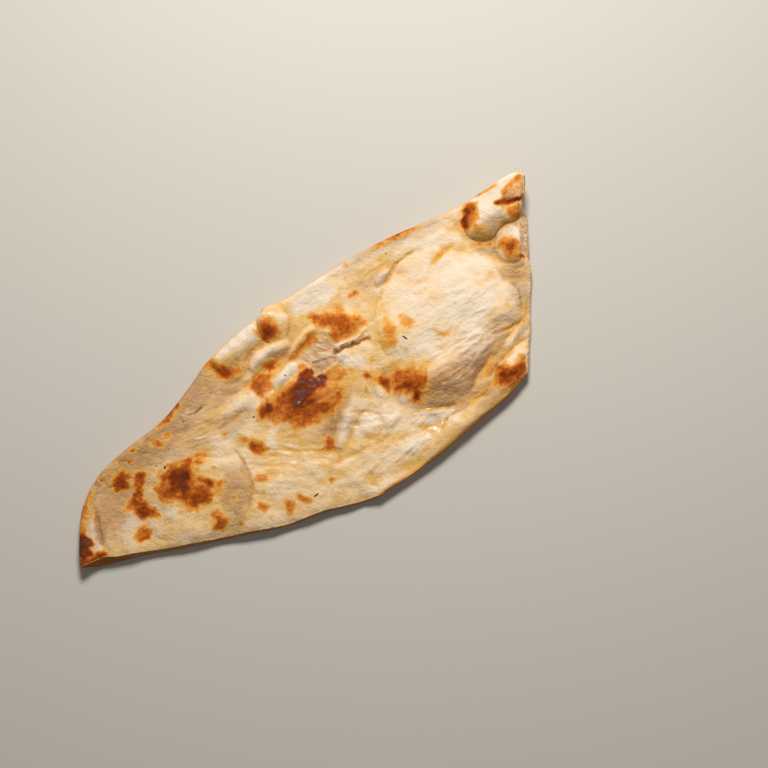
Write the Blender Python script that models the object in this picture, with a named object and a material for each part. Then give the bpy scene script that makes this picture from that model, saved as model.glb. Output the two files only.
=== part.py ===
"""Half of a hand-stretched naan, cut straight on two sides and lying on its underside.

Metres, +Z up. The origin is on the table under the middle of the bread, and +X runs along its length
towards the wide end. The plan is a grid stretched between the four sides of the outline. The relief
on it, such as the rolled rims, the big steam pocket, the blisters and the folds, comes from functions.
"""

import math

import bmesh
import bpy
import numpy as np

MM = 0.001

LENGTH = 273 * MM  # tip to the far corner of the wide end
WIDTH = 106 * MM
THICKNESS = 4.8 * MM  # of the flat dough between the blisters

# The outline, in millimetres from the middle of the bread. Two sides are the baked rim and two are cuts.
TIP_RIM = [(-136.3, 15.3), (-133.2, 20.6), (-129.0, 25.8), (-124.0, 31.6), (-118.6, 36.4), (-111.3, 40.6)]
BACK_RIM = [
    (-111.3, 40.6),
    (-101.5, 43.6),
    (-88.0, 44.3),
    (-71.0, 43.5),
    (-60.0, 44.6),
    (-45.5, 48.0),
    (-33.8, 51.2),
    (-18.0, 52.7),
    (-2.6, 52.2),
    (3.2, 53.6),
    (12.4, 50.8),
    (29.3, 48.2),
    (48.0, 45.6),
    (70.9, 40.8),
    (89.5, 35.0),
    (107.0, 30.2),
    (125.5, 27.2),
    (133.0, 25.4),
    (136.5, 21.8),
]
WIDE_CUT = [
    (136.5, 21.8),
    (133.6, 17.4),
    (127.8, 11.6),
    (126.2, 7.4),
    (121.5, 1.4),
    (115.6, -6.0),
    (109.8, -12.6),
    (108.0, -15.6),
    (98.6, -25.0),
    (90.2, -34.6),
    (80.0, -44.6),
    (73.8, -50.6),
]
LONG_CUT = [
    (-136.3, 15.3),
    (-126.4, 11.2),
    (-113.6, 4.0),
    (-98.4, -5.6),
    (-77.0, -18.0),
    (-55.6, -30.4),
    (-39.6, -36.6),
    (-26.0, -43.4),
    (-14.5, -48.6),
]
FRONT_RIM = [(-14.5, -48.6), (-5.0, -49.8), (5.0, -51.0), (20.0, -52.3), (44.2, -52.4), (60.0, -52.6), (73.8, -50.6)]

# The baked rim is a roll: it rounds over from the dough to a waist, and lifts a little off the table.
RIM_ROUNDING = 6.0 * MM
RIM_WAIST = 1.9 * MM
RIM_SWELL = 1.4 * MM
RIM_SWELL_WIDTH = 9.0 * MM
CUT_PINCH = 0.7 * MM  # how far the knife pressed the dough down along the cuts
CUT_PINCH_WIDTH = 4.0 * MM
CUT_LEAN = 1.4 * MM  # how far the long cut's wall runs out at its foot
CUT_LEAN_WIDTH = 6.0 * MM
CUT_LEAN_FADE = 12.0 * MM

# Both ends curl up off the table, so the bread rests on its middle.
WIDE_END_LIFT = 3.0 * MM
WIDE_END_FROM = 92 * MM
TIP_LIFT = 1.8 * MM
TIP_FROM = -106 * MM

# The steam pocket that fills most of the wide end, as the foot of its dome.
POCKET_FOOT = [
    (27.0, 8.0),
    (38.0, 17.0),
    (48.0, 23.5),
    (62.0, 26.5),
    (76.0, 24.5),
    (92.0, 10.0),
    (103.0, -6.0),
    (98.0, -21.0),
    (88.0, -31.0),
    (72.0, -37.0),
    (58.0, -43.5),
    (42.0, -43.0),
    (26.0, -34.0),
    (20.0, -14.0),
]
POCKET_HEIGHT = 8.0 * MM
POCKET_SHOULDER = 27 * MM

# A low, flat swelling near the tip, as the foot of its plateau.
SWELLING_FOOT = [
    (-63.0, 20.0),
    (-57.0, 12.0),
    (-52.0, 4.0),
    (-54.0, -6.0),
    (-66.0, -16.0),
    (-82.0, -11.0),
    (-98.0, 0.0),
    (-108.0, 12.0),
    (-104.0, 26.0),
    (-90.0, 34.0),
    (-76.0, 29.0),
]
SWELLING_HEIGHT = 1.5 * MM
SWELLING_SHOULDER = 8 * MM

# Blisters: centre and half sizes in millimetres, turn in degrees, height above the dough in millimetres.
BLISTERS = {
    "back edge": ((3.6, 46.2), (9.5, 7.4), 20, 6.0),
    "corner": ((104.5, 16.5), (12.5, 9.5), 35, 5.6),
    "corner ridge": ((121.0, 17.0), (15.0, 8.0), 25, 4.2),
    "cut through": ((108.8, -0.4), (8.2, 8.6), 0, 6.4),
    "front corner": ((70.0, -44.5), (12.0, 6.2), 42, 4.2),
    "back rim roll": ((-26.0, 43.5), (14.0, 6.0), 12, 3.0),
    "charred middle": ((-16.0, 8.0), (25.0, 15.0), 10, 2.2),
    "lifted patch": ((26.0, 23.5), (17.0, 10.0), -15, 1.8),
}

# Folds: the line each follows in millimetres, then its height and half width in millimetres.
FOLDS = {
    "along the back": ([(-15.0, 36.8), (-4.0, 37.4), (8.0, 36.4), (24.0, 37.0), (40.0, 34.0)], 2.2, 6.0),
    "browned": ([(-8.0, 25.6), (2.0, 26.0), (11.0, 23.6)], 1.8, 4.5),
    "behind the tip": ([(-106.3, 41.0), (-113.7, 33.4), (-118.4, 26.6), (-124.7, 14.8)], -1.3, 4.0),
    "in front of the pocket": ([(39.0, -46.4), (50.0, -45.4), (60.0, -41.6)], -1.2, 4.0),
    "beside the pocket": ([(78.0, -29.5), (86.0, -31.0), (92.0, -33.0)], -1.4, 4.0),
    "in front": ([(-52.0, -18.0), (-20.0, -24.0), (8.0, -40.0)], 0.8, 12.0),
}

# The gentle waves of stretched dough: heading in degrees, length and height in millimetres.
WAVES = [(12, 74.0, 0.45), (75, 41.0, 0.35), (140, 29.0, 0.25)]

LENGTH_CELLS = 92
WIDTH_CELLS = 34


def smooth_line(points, count):
    """Evenly spaced places, in metres, along a smooth line through points given in millimetres."""
    points = np.array(points, float) * MM
    ends = 2 * points[[0, -1]] - points[[1, -2]]
    held = np.vstack([ends[:1], points, ends[1:]])
    t = np.linspace(0, 1, 12, endpoint=False)[:, None]
    spans = [
        b + (c - a) * t / 2 + (2 * a - 5 * b + 4 * c - d) * t**2 / 2 + (3 * b - a - 3 * c + d) * t**3 / 2
        for a, b, c, d in zip(held, held[1:], held[2:], held[3:])
    ]
    fine = np.vstack([*spans, points[-1:]])
    steps = np.linalg.norm(np.diff(fine, axis=0), axis=1)
    along = np.concatenate([[0], np.cumsum(steps)])
    even = np.linspace(0, along[-1], count)
    return np.column_stack([np.interp(even, along, fine[:, axis]) for axis in (0, 1)])


def distance_to(line, places):
    """Distance of each place from a line of straight pieces."""
    nearest = np.full(len(places), np.inf)
    for start, end in zip(line, line[1:]):
        run = end - start
        share = np.clip((places - start) @ run / (run @ run), 0, 1)
        gap = np.linalg.norm(places - start - share[:, None] * run, axis=1)
        nearest = np.minimum(nearest, gap)
    return nearest


def inside(loop, places):
    """Which places lie inside a closed loop, by counting the edges that a ray to the right crosses."""
    crossed = np.zeros(len(places), bool)
    for (x0, y0), (x1, y1) in zip(loop, loop[1:]):
        if y0 == y1:
            continue
        spans = (y0 > places[:, 1]) != (y1 > places[:, 1])
        crossed ^= spans & (places[:, 0] < x0 + (places[:, 1] - y0) * (x1 - x0) / (y1 - y0))
    return crossed


def ease(value):
    """A smooth step from 0 to 1."""
    value = np.clip(value, 0, 1)
    return value * value * (3 - 2 * value)


def plan_sides():
    """The four sides of the plan, each with one place for every line of the grid that meets it."""
    back = smooth_line(BACK_RIM, LENGTH_CELLS + 1)
    tip = smooth_line(TIP_RIM, WIDTH_CELLS + 1)
    wide = smooth_line(WIDE_CUT, WIDTH_CELLS + 1)[::-1]
    cut = smooth_line(LONG_CUT, 200)
    rim = smooth_line(FRONT_RIM, 200)
    whole = np.vstack([cut, rim[1:]]) / MM
    front = smooth_line(whole, LENGTH_CELLS + 1)
    return front, back, tip, wide


def plan_places(across, along):
    """Place of each grid point: across and along run from 0 to 1 over the grid."""
    front, back, tip, wide = plan_sides()
    s = along[:, None]
    t = across[:, None]
    column = np.rint(along * LENGTH_CELLS).astype(int)
    row = np.rint(across * WIDTH_CELLS).astype(int)
    between_rims = (1 - t) * front[column] + t * back[column]
    between_ends = (1 - s) * tip[row] + s * wide[row]
    corners = (1 - s) * ((1 - t) * front[0] + t * back[0]) + s * ((1 - t) * front[-1] + t * back[-1])
    places = between_rims + between_ends - corners
    low, high = places.min(axis=0), places.max(axis=0)
    return (places - (low + high) / 2) * np.array([LENGTH, WIDTH]) / (high - low)


def bump(places, centre, half, turn):
    """A dome's share of its height at each place: 1 at its centre and 0 at its foot."""
    away = places - np.array(centre) * MM
    cos, sin = math.cos(math.radians(turn)), math.sin(math.radians(turn))
    right = (away[:, 0] * cos + away[:, 1] * sin) / (half[0] * MM)
    forward = (away[:, 1] * cos - away[:, 0] * sin) / (half[1] * MM)
    return np.clip(1 - right**2 - forward**2, 0, None) ** 0.75


def lift(places):
    """How far the bread curls up off the table at its two ends."""
    x = places[:, 0]
    wide_end = ease((x - WIDE_END_FROM) / (LENGTH / 2 - WIDE_END_FROM))
    tip = ease((TIP_FROM - x) / (LENGTH / 2 + TIP_FROM))
    return WIDE_END_LIFT * wide_end + TIP_LIFT * tip


def pillow(places, foot, shoulder):
    """A puffed area's share of its height: it climbs steeply from its foot and is level past its shoulder."""
    loop = smooth_line([*foot, foot[0]], 80)
    climb = np.clip(distance_to(loop, places) / shoulder, 0, 1)
    return np.where(inside(loop, places), np.sqrt(1 - (1 - climb) ** 2), 0)


def relief(places):
    """Height of the dough's upper face over the underside, before the rims are rounded."""
    height = np.full(len(places), THICKNESS)
    for heading, length, rise in WAVES:
        way = np.array([math.cos(math.radians(heading)), math.sin(math.radians(heading))])
        height += rise * MM * np.sin(places @ way * math.tau / (length * MM))
    height += POCKET_HEIGHT * pillow(places, POCKET_FOOT, POCKET_SHOULDER)
    height += SWELLING_HEIGHT * pillow(places, SWELLING_FOOT, SWELLING_SHOULDER)
    for centre, half, turn, rise in BLISTERS.values():
        height += rise * MM * bump(places, centre, half, turn)
    for line, rise, half in FOLDS.values():
        away = distance_to(smooth_line(line, 30), places) / (half * MM)
        height += rise * MM * ease(1 - away)
    return height


def faces_of_bread(places):
    """Heights of the upper face and of the underside at each place of the plan."""
    rims = [smooth_line(side, 120) for side in (TIP_RIM, BACK_RIM, FRONT_RIM)]
    cuts = [smooth_line(side, 120) for side in (WIDE_CUT, LONG_CUT)]
    rim_gap = np.min([distance_to(rim, places) for rim in rims], axis=0)
    cut_gap = np.min([distance_to(cut, places) for cut in cuts], axis=0)
    rounding = np.sqrt(1 - (1 - np.clip(rim_gap / RIM_ROUNDING, 0, 1)) ** 2)
    height = relief(places) + RIM_SWELL * ease(1 - rim_gap / RIM_SWELL_WIDTH)
    height -= CUT_PINCH * ease(1 - cut_gap / CUT_PINCH_WIDTH)
    edge = 0.75 * MM * (1 - rounding)
    upper = RIM_WAIST + (height - RIM_WAIST) * rounding + edge
    under = RIM_WAIST * (1 - rounding) - edge
    raised = lift(places)
    return upper + raised, under + raised


def leaning_foot(places):
    """The plan of the underside: along the long cut it reaches out past the upper face."""
    cut = smooth_line(LONG_CUT, 120)
    ends = np.min([np.linalg.norm(places - end, axis=1) for end in (cut[0], cut[-1])], axis=0)
    run = cut[-1] - cut[0]
    outward = np.array([run[1], -run[0]]) / np.linalg.norm(run)
    share = ease(1 - distance_to(cut, places) / CUT_LEAN_WIDTH) * ease(ends / CUT_LEAN_FADE)
    return places + CUT_LEAN * share[:, None] * outward


def naan_mesh():
    """A grid stretched over the plan, with a copy of it below and a wall between their edges."""
    bm = bmesh.new()
    order = bm.verts.layers.int.new("order")
    bmesh.ops.create_grid(bm, x_segments=LENGTH_CELLS, y_segments=WIDTH_CELLS, size=0.5)
    top = list(bm.verts)
    grid = np.array([vert.co[:2] for vert in top]) + 0.5
    places = plan_places(across=grid[:, 1], along=grid[:, 0])
    upper, under = faces_of_bread(places)
    for index, vert in enumerate(top):
        vert[order] = index
    raised = bmesh.ops.extrude_face_region(bm, geom=bm.faces[:])
    lifted = [item for item in raised["geom"] if isinstance(item, bmesh.types.BMVert)]
    for vert in lifted:
        vert.co = (*places[vert[order]], upper[vert[order]])
    for vert, (x, y), z in zip(top, leaning_foot(places), under):
        vert.co = (x, y, z)
    bmesh.ops.triangulate(bm, faces=bm.faces[:])
    bmesh.ops.recalc_face_normals(bm, faces=bm.faces[:])
    mesh = bpy.data.meshes.new("naan")
    bm.to_mesh(mesh)
    bm.free()
    mesh.shade_smooth()
    mesh.set_sharp_from_angle(angle=math.radians(50))
    return mesh


def baked_dough():
    """Baked wheat dough: pale, matt and slightly buttery."""
    material = bpy.data.materials.new("baked dough")
    material.use_nodes = True
    shader = material.node_tree.nodes["Principled BSDF"]
    shader.inputs["Base Color"].default_value = (0.80, 0.60, 0.36, 1)
    shader.inputs["Roughness"].default_value = 0.55
    shader.inputs["Metallic"].default_value = 0.0
    return material


def build():
    for old in list(bpy.data.objects):
        bpy.data.objects.remove(old)
    collection = bpy.data.collections.new("half naan")
    bpy.context.scene.collection.children.link(collection)
    naan = bpy.data.objects.new("naan", naan_mesh())
    naan.data.materials.append(baked_dough())
    collection.objects.link(naan)


build()
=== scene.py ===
import math

import bmesh
import bpy
import numpy as np
from mathutils import Matrix, Vector


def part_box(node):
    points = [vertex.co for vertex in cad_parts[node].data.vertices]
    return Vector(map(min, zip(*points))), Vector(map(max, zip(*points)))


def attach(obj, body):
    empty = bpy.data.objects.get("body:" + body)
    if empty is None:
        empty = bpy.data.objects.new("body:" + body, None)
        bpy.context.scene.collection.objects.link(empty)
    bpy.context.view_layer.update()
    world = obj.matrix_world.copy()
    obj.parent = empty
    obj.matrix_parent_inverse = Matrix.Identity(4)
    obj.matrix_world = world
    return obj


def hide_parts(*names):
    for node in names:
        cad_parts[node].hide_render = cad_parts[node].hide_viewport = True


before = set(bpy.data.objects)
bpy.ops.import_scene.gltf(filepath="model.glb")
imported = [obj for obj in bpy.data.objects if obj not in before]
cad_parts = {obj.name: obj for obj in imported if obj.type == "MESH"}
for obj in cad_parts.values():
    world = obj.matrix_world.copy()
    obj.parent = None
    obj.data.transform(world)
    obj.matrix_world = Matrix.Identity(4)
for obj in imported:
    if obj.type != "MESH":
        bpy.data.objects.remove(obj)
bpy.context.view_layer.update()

# The stretched dough sheet: half of a naan, cut straight along its front left side and across its wide
# end, with the baked rim left on the other sides. Everything on it is worked out in millimetres from
# the middle of the bread, and becomes metres when the mesh is written.
MM = 0.001
BREAD_LOW, BREAD_HIGH = (np.array(corner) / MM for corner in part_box("naan"))
TIP_RIM = [(-136.3, 15.3), (-133.2, 20.6), (-129, 25.8), (-124, 31.6), (-118.6, 36.4), (-111.3, 40.6)]
BACK_RIM = [
    (-111.3, 40.6), (-101.5, 43.6), (-88, 44.3), (-71, 43.5), (-60, 44.6), (-45.5, 48), (-33.8, 51.2),
    (-18, 52.7), (-2.6, 52.2), (3.2, 53.6), (12.4, 50.8), (29.3, 48.2), (48, 45.6), (70.9, 40.8),
    (89.5, 35), (107, 30.2), (125.5, 27.2), (133, 25.4), (136.5, 21.8),
]
WIDE_CUT = [
    (136.5, 21.8), (133.6, 17.4), (127.8, 11.6), (126.2, 7.4), (121.5, 1.4), (115.6, -6), (109.8, -12.6),
    (108, -15.6), (98.6, -25), (90.2, -34.6), (80, -44.6), (73.8, -50.6),
]
LONG_CUT = [
    (-136.3, 15.3), (-126.4, 11.2), (-113.6, 4), (-98.4, -5.6), (-77, -18), (-55.6, -30.4),
    (-39.6, -36.6), (-26, -43.4), (-14.5, -48.6),
]
FRONT_RIM = [
    (-14.5, -48.6), (-5, -49.8), (5, -51), (20, -52.3), (44.2, -52.4), (60, -52.6), (73.8, -50.6),
]
COLUMNS = 420
ROWS = 156
WALL_LAYERS = 10


def dough_box():
    """A box one unit long and wide: a fine grid on top, a coarser one below and a layered wall between."""
    bm = bmesh.new()
    bmesh.ops.create_grid(bm, x_segments=COLUMNS, y_segments=ROWS, size=0.5)
    edge = [line for line in bm.edges if line.is_boundary]
    for _ in range(WALL_LAYERS):
        wall = bmesh.ops.extrude_edge_only(bm, edges=edge)["geom"]
        edge = [item for item in wall if isinstance(item, bmesh.types.BMEdge)]
        lower = [item for item in wall if isinstance(item, bmesh.types.BMVert)]
        edge = [line for line in edge if line.is_boundary]
        bmesh.ops.translate(bm, verts=lower, vec=(0, 0, -1 / WALL_LAYERS))
    place = Matrix.Translation((0, 0, -1))
    under = bmesh.ops.create_grid(bm, x_segments=COLUMNS // 2, y_segments=ROWS // 2, size=0.5, matrix=place)
    under = set(under["verts"])
    seam = [line for line in bm.edges if line.is_boundary and set(line.verts) <= under]
    bmesh.ops.subdivide_edges(bm, edges=seam, cuts=1)
    bmesh.ops.remove_doubles(bm, verts=bm.verts[:], dist=1e-4)
    bmesh.ops.triangulate(bm, faces=[face for face in bm.faces if len(face.verts) > 4])
    bmesh.ops.recalc_face_normals(bm, faces=bm.faces[:])
    mesh = bpy.data.meshes.new("naan bread")
    bm.to_mesh(mesh)
    bm.free()
    return mesh


def smooth_line(points, count):
    """Evenly spaced places along a smooth line through given points."""
    points = np.array(points, float)
    ends = 2 * points[[0, -1]] - points[[1, -2]]
    held = np.vstack([ends[:1], points, ends[1:]])
    t = np.linspace(0, 1, 12, endpoint=False)[:, None]
    spans = [
        b + (c - a) * t / 2 + (2 * a - 5 * b + 4 * c - d) * t**2 / 2 + (3 * b - a - 3 * c + d) * t**3 / 2
        for a, b, c, d in zip(held, held[1:], held[2:], held[3:])
    ]
    fine = np.vstack([*spans, points[-1:]])
    steps = np.linalg.norm(np.diff(fine, axis=0), axis=1)
    along = np.concatenate([[0], np.cumsum(steps)])
    even = np.linspace(0, along[-1], count)
    return np.column_stack([np.interp(even, along, fine[:, axis]) for axis in (0, 1)])


def plan_of(grid):
    """Each grid place between the four sides of the outline, fitted to the bread's box, in millimetres."""
    back = smooth_line(BACK_RIM, COLUMNS + 1)
    tip = smooth_line(TIP_RIM, ROWS + 1)
    wide = smooth_line(WIDE_CUT, ROWS + 1)[::-1]
    whole_front = np.vstack([smooth_line(LONG_CUT, 200), smooth_line(FRONT_RIM, 200)[1:]])
    front = smooth_line(whole_front, COLUMNS + 1)
    s, t = grid[:, :1], grid[:, 1:]
    column, row = np.rint(grid * (COLUMNS, ROWS)).astype(int).T
    between_rims = (1 - t) * front[column] + t * back[column]
    between_ends = (1 - s) * tip[row] + s * wide[row]
    corners = (1 - s) * ((1 - t) * front[0] + t * back[0]) + s * ((1 - t) * front[-1] + t * back[-1])
    places = between_rims + between_ends - corners
    low, high = places.min(axis=0), places.max(axis=0)
    grown = (BREAD_HIGH - BREAD_LOW)[:2] / (high - low)
    return (places - (low + high) / 2) * grown + (BREAD_HIGH + BREAD_LOW)[:2] / 2


def nearest_on(line, places):
    """Distance of each place from a line of straight pieces, and its share of the way along the line."""
    nearest = np.full(len(places), np.inf)
    along = np.zeros(len(places))
    for piece, (start, end) in enumerate(zip(line, line[1:])):
        run = end - start
        away = places - start
        share = np.clip(away @ run / (run @ run), 0, 1)
        gap = np.hypot(away[:, 0] - share * run[0], away[:, 1] - share * run[1])
        closer = gap < nearest
        nearest[closer] = gap[closer]
        along[closer] = (piece + share[closer]) / (len(line) - 1)
    return nearest, along


def inside(loop, places):
    """Which places lie inside a closed loop, by counting the edges that a ray to the right crosses."""
    crossed = np.zeros(len(places), bool)
    for (x0, y0), (x1, y1) in zip(loop, loop[1:]):
        if y0 == y1:
            continue
        spans = (y0 > places[:, 1]) != (y1 > places[:, 1])
        crossed ^= spans & (places[:, 0] < x0 + (places[:, 1] - y0) * (x1 - x0) / (y1 - y0))
    return crossed


def within_reach(places, line, reach):
    """Which places lie in the box round a line, grown by its reach."""
    low, high = line.min(axis=0) - reach, line.max(axis=0) + reach
    return np.flatnonzero(((places > low) & (places < high)).all(axis=1))


def beside(places, points, reach):
    """The places near a smooth line: which they are, how far off it and how far along it."""
    line = smooth_line(points, 5 * len(points))
    near = within_reach(places, line, reach)
    off, along = nearest_on(line, places[near])
    return near, off, along


def depth_in(places, points, reach):
    """The places near a closed loop: which they are, and how deep inside its edge they lie."""
    loop = smooth_line([*points, points[0]], 4 * len(points))
    near = within_reach(places, loop, reach)
    gap = nearest_on(loop, places[near])[0]
    return near, np.where(inside(loop, places[near]), gap, -gap)


def ease(value):
    """A smooth step from 0 to 1."""
    value = np.clip(value, 0, 1)
    return value * value * (3 - 2 * value)


def dome(value):
    """A steep start from 0 that levels off at 1."""
    return 1 - (1 - np.clip(value, 0, 1)) ** 2


def share_in(places, points, soft):
    """Each place's share of a closed loop, which fades over this width at the loop's edge."""
    share = np.zeros(len(places))
    near, depth = depth_in(places, points, soft)
    share[near] = ease(0.5 + depth / soft)
    return share


def toward(degrees):
    """A step of one along a heading in the plan."""
    return np.array([math.cos(math.radians(degrees)), math.sin(math.radians(degrees))])


def hills(places, size, seed, octaves=1):
    """Random hills between about -1 and 1, this many millimetres apart, with finer ones on top."""
    total = np.zeros(len(places))
    for octave in range(octaves):
        table = np.random.default_rng(seed + octave).uniform(-1, 1, (64, 64))
        cos, sin = math.cos(0.6 + 0.9 * octave), math.sin(0.6 + 0.9 * octave)
        turned = np.column_stack([places @ (cos, sin), places @ (-sin, cos)]) / size * 2**octave
        cell = np.floor(turned).astype(int)
        part = turned - cell
        x, y = (part * part * part * (part * (6 * part - 15) + 10)).T
        (left, low), (right, high) = cell.T % 64, (cell.T + 1) % 64
        below = table[left, low] * (1 - x) + table[right, low] * x
        above = table[left, high] * (1 - x) + table[right, high] * x
        total += (below * (1 - y) + above * y) * 0.55**octave
    return total


def strayed(places, far, size, seed):
    """The places, each moved a little its own way, which makes drawn edges uneven."""
    return places + far * np.column_stack([hills(places, size, seed, 2), hills(places, size, seed + 5, 2)])


def in_ellipse(places, centre, half, turn):
    """Each place in an ellipse's own axes, where its edge is at 1 from the middle."""
    away = places - np.array(centre)
    cos, sin = toward(turn)
    return np.column_stack([away @ (cos, sin) / half[0], away @ (-sin, cos) / half[1]])


# The risen relief of the dough: a thin sheet with rolled rims, one big steam pocket at the wide end,
# a flat swelling near the tip, folds left by stretching, a tear and round blisters. It is modelled as
# heights over the underside, and the blisters also swell sideways over their own feet.
THICKNESS = 4.8
RIM_ROUNDING = 3.1
RIM_WAIST = 1.9
RIM_HALF_EDGE = 0.75
FRONT_WAIST_RISE = 2.4
FRONT_WAIST_REACH = 26.0
RIM_SWELL = 1.2
RIM_SWELL_WIDTH = 8.0
CUT_PINCH = 0.9
CUT_PINCH_WIDTH = 3.5
CUT_LEAN = 2.0
CUT_LEAN_WIDTH = 6.0
CUT_LEAN_FADE = 9.0
CUT_LEAN_LENGTH = 28.0
CUT_LEAN_BEYOND = 0.35
CUT_LEAN_UNTIL = 90
CUT_LEAN_CEASING = 40
CORNER_LEAN = 3.3
CORNER_LEAN_WIDTH = 6.0
CORNER_LEAN_FROM = 12.0
CORNER_LEAN_TO = 44.0
CORNER_LEAN_FADE = 7.0
TIP_LEAN = 1.3
TIP_LEAN_WIDTH = 4.0
TIP_LEAN_LENGTH = 16.0
WIDE_END_LIFT = 3.0
WIDE_END_FROM = 92.0
TIP_LIFT = 1.8
TIP_FROM = -106.0
DENT_HEIGHT = 0.25
CHAR_GRAIN = 0.14

# What would rise above TOP_FREE is pressed together, to less than TOP_GIVE more.
TOP_FREE = 12.2
TOP_GIVE = 1.3

# Long waves of the whole sheet, as heading, length and height, and the face's finer unevenness, as
# height, spacing, seed and number of layers.
WAVES = [(12, 74, 0.45), (75, 41, 0.35), (140, 29, 0.25)]
UNEVENNESS = [(0.48, 16, 51, 2), (0.34, 7, 53, 1), (0.19, 3.6, 55, 1), (0.07, 1.6, 57, 1)]

# The feet of the steam pocket and of the flat swelling, and how high and how steeply they puff up. The
# pocket's near flank stands up further.
POCKET_FOOT = [
    (74, 27.5), (68.5, 28), (62.5, 28), (58, 26.5), (54, 25), (49.5, 22.5), (44.5, 20.5), (40, 18.5),
    (35, 15), (30.5, 11), (27.5, 4.5), (25, -1.5), (22.5, -7.5), (20.5, -14), (20, -20.5), (21, -27),
    (25.5, -30.5), (32.5, -36.5), (39.5, -41), (44, -42.5), (49, -41.5), (54, -39.5), (59, -37),
    (64.5, -35), (70, -33.5), (75.5, -32.5), (81, -31.5), (87, -30.5), (91, -28), (94, -24.5), (96, -21),
    (96.5, -16), (95.5, -11.5), (96, -6), (96, 1), (94.5, 8), (90, 14), (85, 19), (80, 23.5),
]
SWELLING_FOOT = [
    (-82.5, 23.5), (-77, 24), (-71.5, 22), (-64.5, 18), (-57.5, 12.5), (-52, 7.5), (-52, 2), (-54.5, -5),
    (-58, -11), (-64.5, -15.5), (-69.5, -18.5), (-76.5, -17), (-86.5, -11.5), (-95.5, -5), (-102.5, 1),
    (-103, 7.5), (-99, 13.5), (-94, 18), (-88.5, 21.5),
]
POCKET_HEIGHT = 3.9
POCKET_SHOULDER = 27.0
POCKET_EDGE_HEIGHT = 3.6
POCKET_EDGE_SHOULDER = 16.0
POCKET_FLANK_FROM = 12.0
POCKET_FLANK_OVER = 20.0
POCKET_FLANK_END = 92.0
POCKET_FLANK_FADE = 26.0
SWELLING_HEIGHT = 1.4
SWELLING_SHOULDER = 7.0

# The pear-shaped puff at the back corner, cut through by the wide cut: it stands up steeply at its foot.
CORNER_FOOT = [
    (101.5, 24.5), (97.5, 19), (97.5, 14), (100, 9.5), (104, 8), (108.5, 8), (113.5, 8.5), (118.5, 7.5),
    (125.5, 5.5), (133, 11), (140.5, 22.5), (131.5, 28.5), (121, 29.5), (113, 29), (106.5, 28),
]
CORNER_HEIGHT = 4.8
CORNER_SHOULDER = 9.0

# Round blisters: centre, half sizes, turn in degrees, height, and how far round they curl to their foot.
BLISTERS = {
    "back edge": ((1.0, 43.6), (9.0, 7.6), 48, 3.9, 78),
    "cut through": ((109.9, 0.2), (9.8, 8.4), 49, 4.0, 62),
}

# Soft swellings: centre, half sizes, turn in degrees and height. Each ends at this share of its half
# sizes and levels off this much further in.
BUMP_END = 1.15
BUMP_SLOPE = 0.9
BUMPS = {
    "on the pocket's left": ((38.5, 1.5), (9.4, 8.2), 48, 1.2),
    "low centre": ((3, -21.5), (5.8, 4.6), 4, 0.9),
    "by the cluster": ((17, -12.5), (4.2, 2.7), -83, 0.8),
    "right of low centre": ((12, -26.5), (5.4, 2.7), -10, 0.8),
    "glossy": ((26, -37), (8.7, 5), -23, 1.2),
    "below the flank": ((54, -41), (5.4, 2.3), 12, 1),
    "charred middle": ((-12.5, 9), (20.6, 12.8), -13, 1),
    "lifted patch": ((23, 23), (15.5, 9.2), -15, 1.6),
    "front corner": ((70, -44.5), (13.5, 7), 14, 3.4),
    "facet": ((127, 18), (7, 5), 60, 1.2),
}

# Rolls and folds that stand up, as name, height, half width and line.
RIDGES = [
    ("rim roll", 3.4, 7, [(-33, 46.5), (-27, 46), (-20, 45.5), (-12, 46), (-6, 46.5)]),
    ("under the roll", 2.8, 4.5, [(-21.5, 34.5), (-17, 35.5), (-11, 35.5), (-5, 34.5), (1.5, 33.5)]),
    ("browned fold", 2.2, 3, [(-4, 26.5), (2, 28.5), (7, 30), (12.5, 30), (16.5, 28.5)]),
    ("beside the char", 2.2, 4, [(-18.5, 21.5), (-13.5, 22), (-8, 22.5), (-3, 23)]),
    ("right of the char", 1.9, 4, [(7, -7.5), (1, -11), (-5, -14), (-10, -17), (-15, -21)]),
    ("flap lip", 1.1, 1.6, [(36, 14.5), (31.5, 14), (27.5, 13.5), (23, 14), (18, 15), (15, 16)]),
    ("front roll", 1.5, 7, [(58.5, -52.5), (50.5, -50.5), (44, -48), (34, -47), (24, -46), (11.5, -43),
        (-1.5, -40.5), (-11.5, -38.5)]),
    ("near the wide cut", 1.2, 2.5, [(88.5, -33), (83.5, -33.5), (78.5, -34.5), (72.5, -35.5)]),
    ("on the flank", 0.8, 1.8, [(73, -29), (67.5, -29), (62.5, -30.5), (56.5, -32)]),
    ("corner neck", 0.9, 6.5, [(109, 17), (114.5, 18.5), (122, 20.5), (129, 22)]),
    ("tip rim", 0.6, 2, [(-114.5, 36), (-118.5, 30.5), (-122, 24.5), (-125, 18)]),
    ("torn edge", 0.5, 1.2, [(-2, 12.5), (1, 12), (4, 11), (7, 10.5), (10.5, 10.5)]),
    ("left of the crease", 1.5, 2.6, [(49, 26.5), (52.5, 27.5), (56.5, 28.5), (59, 29.5)]),
]

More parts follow.
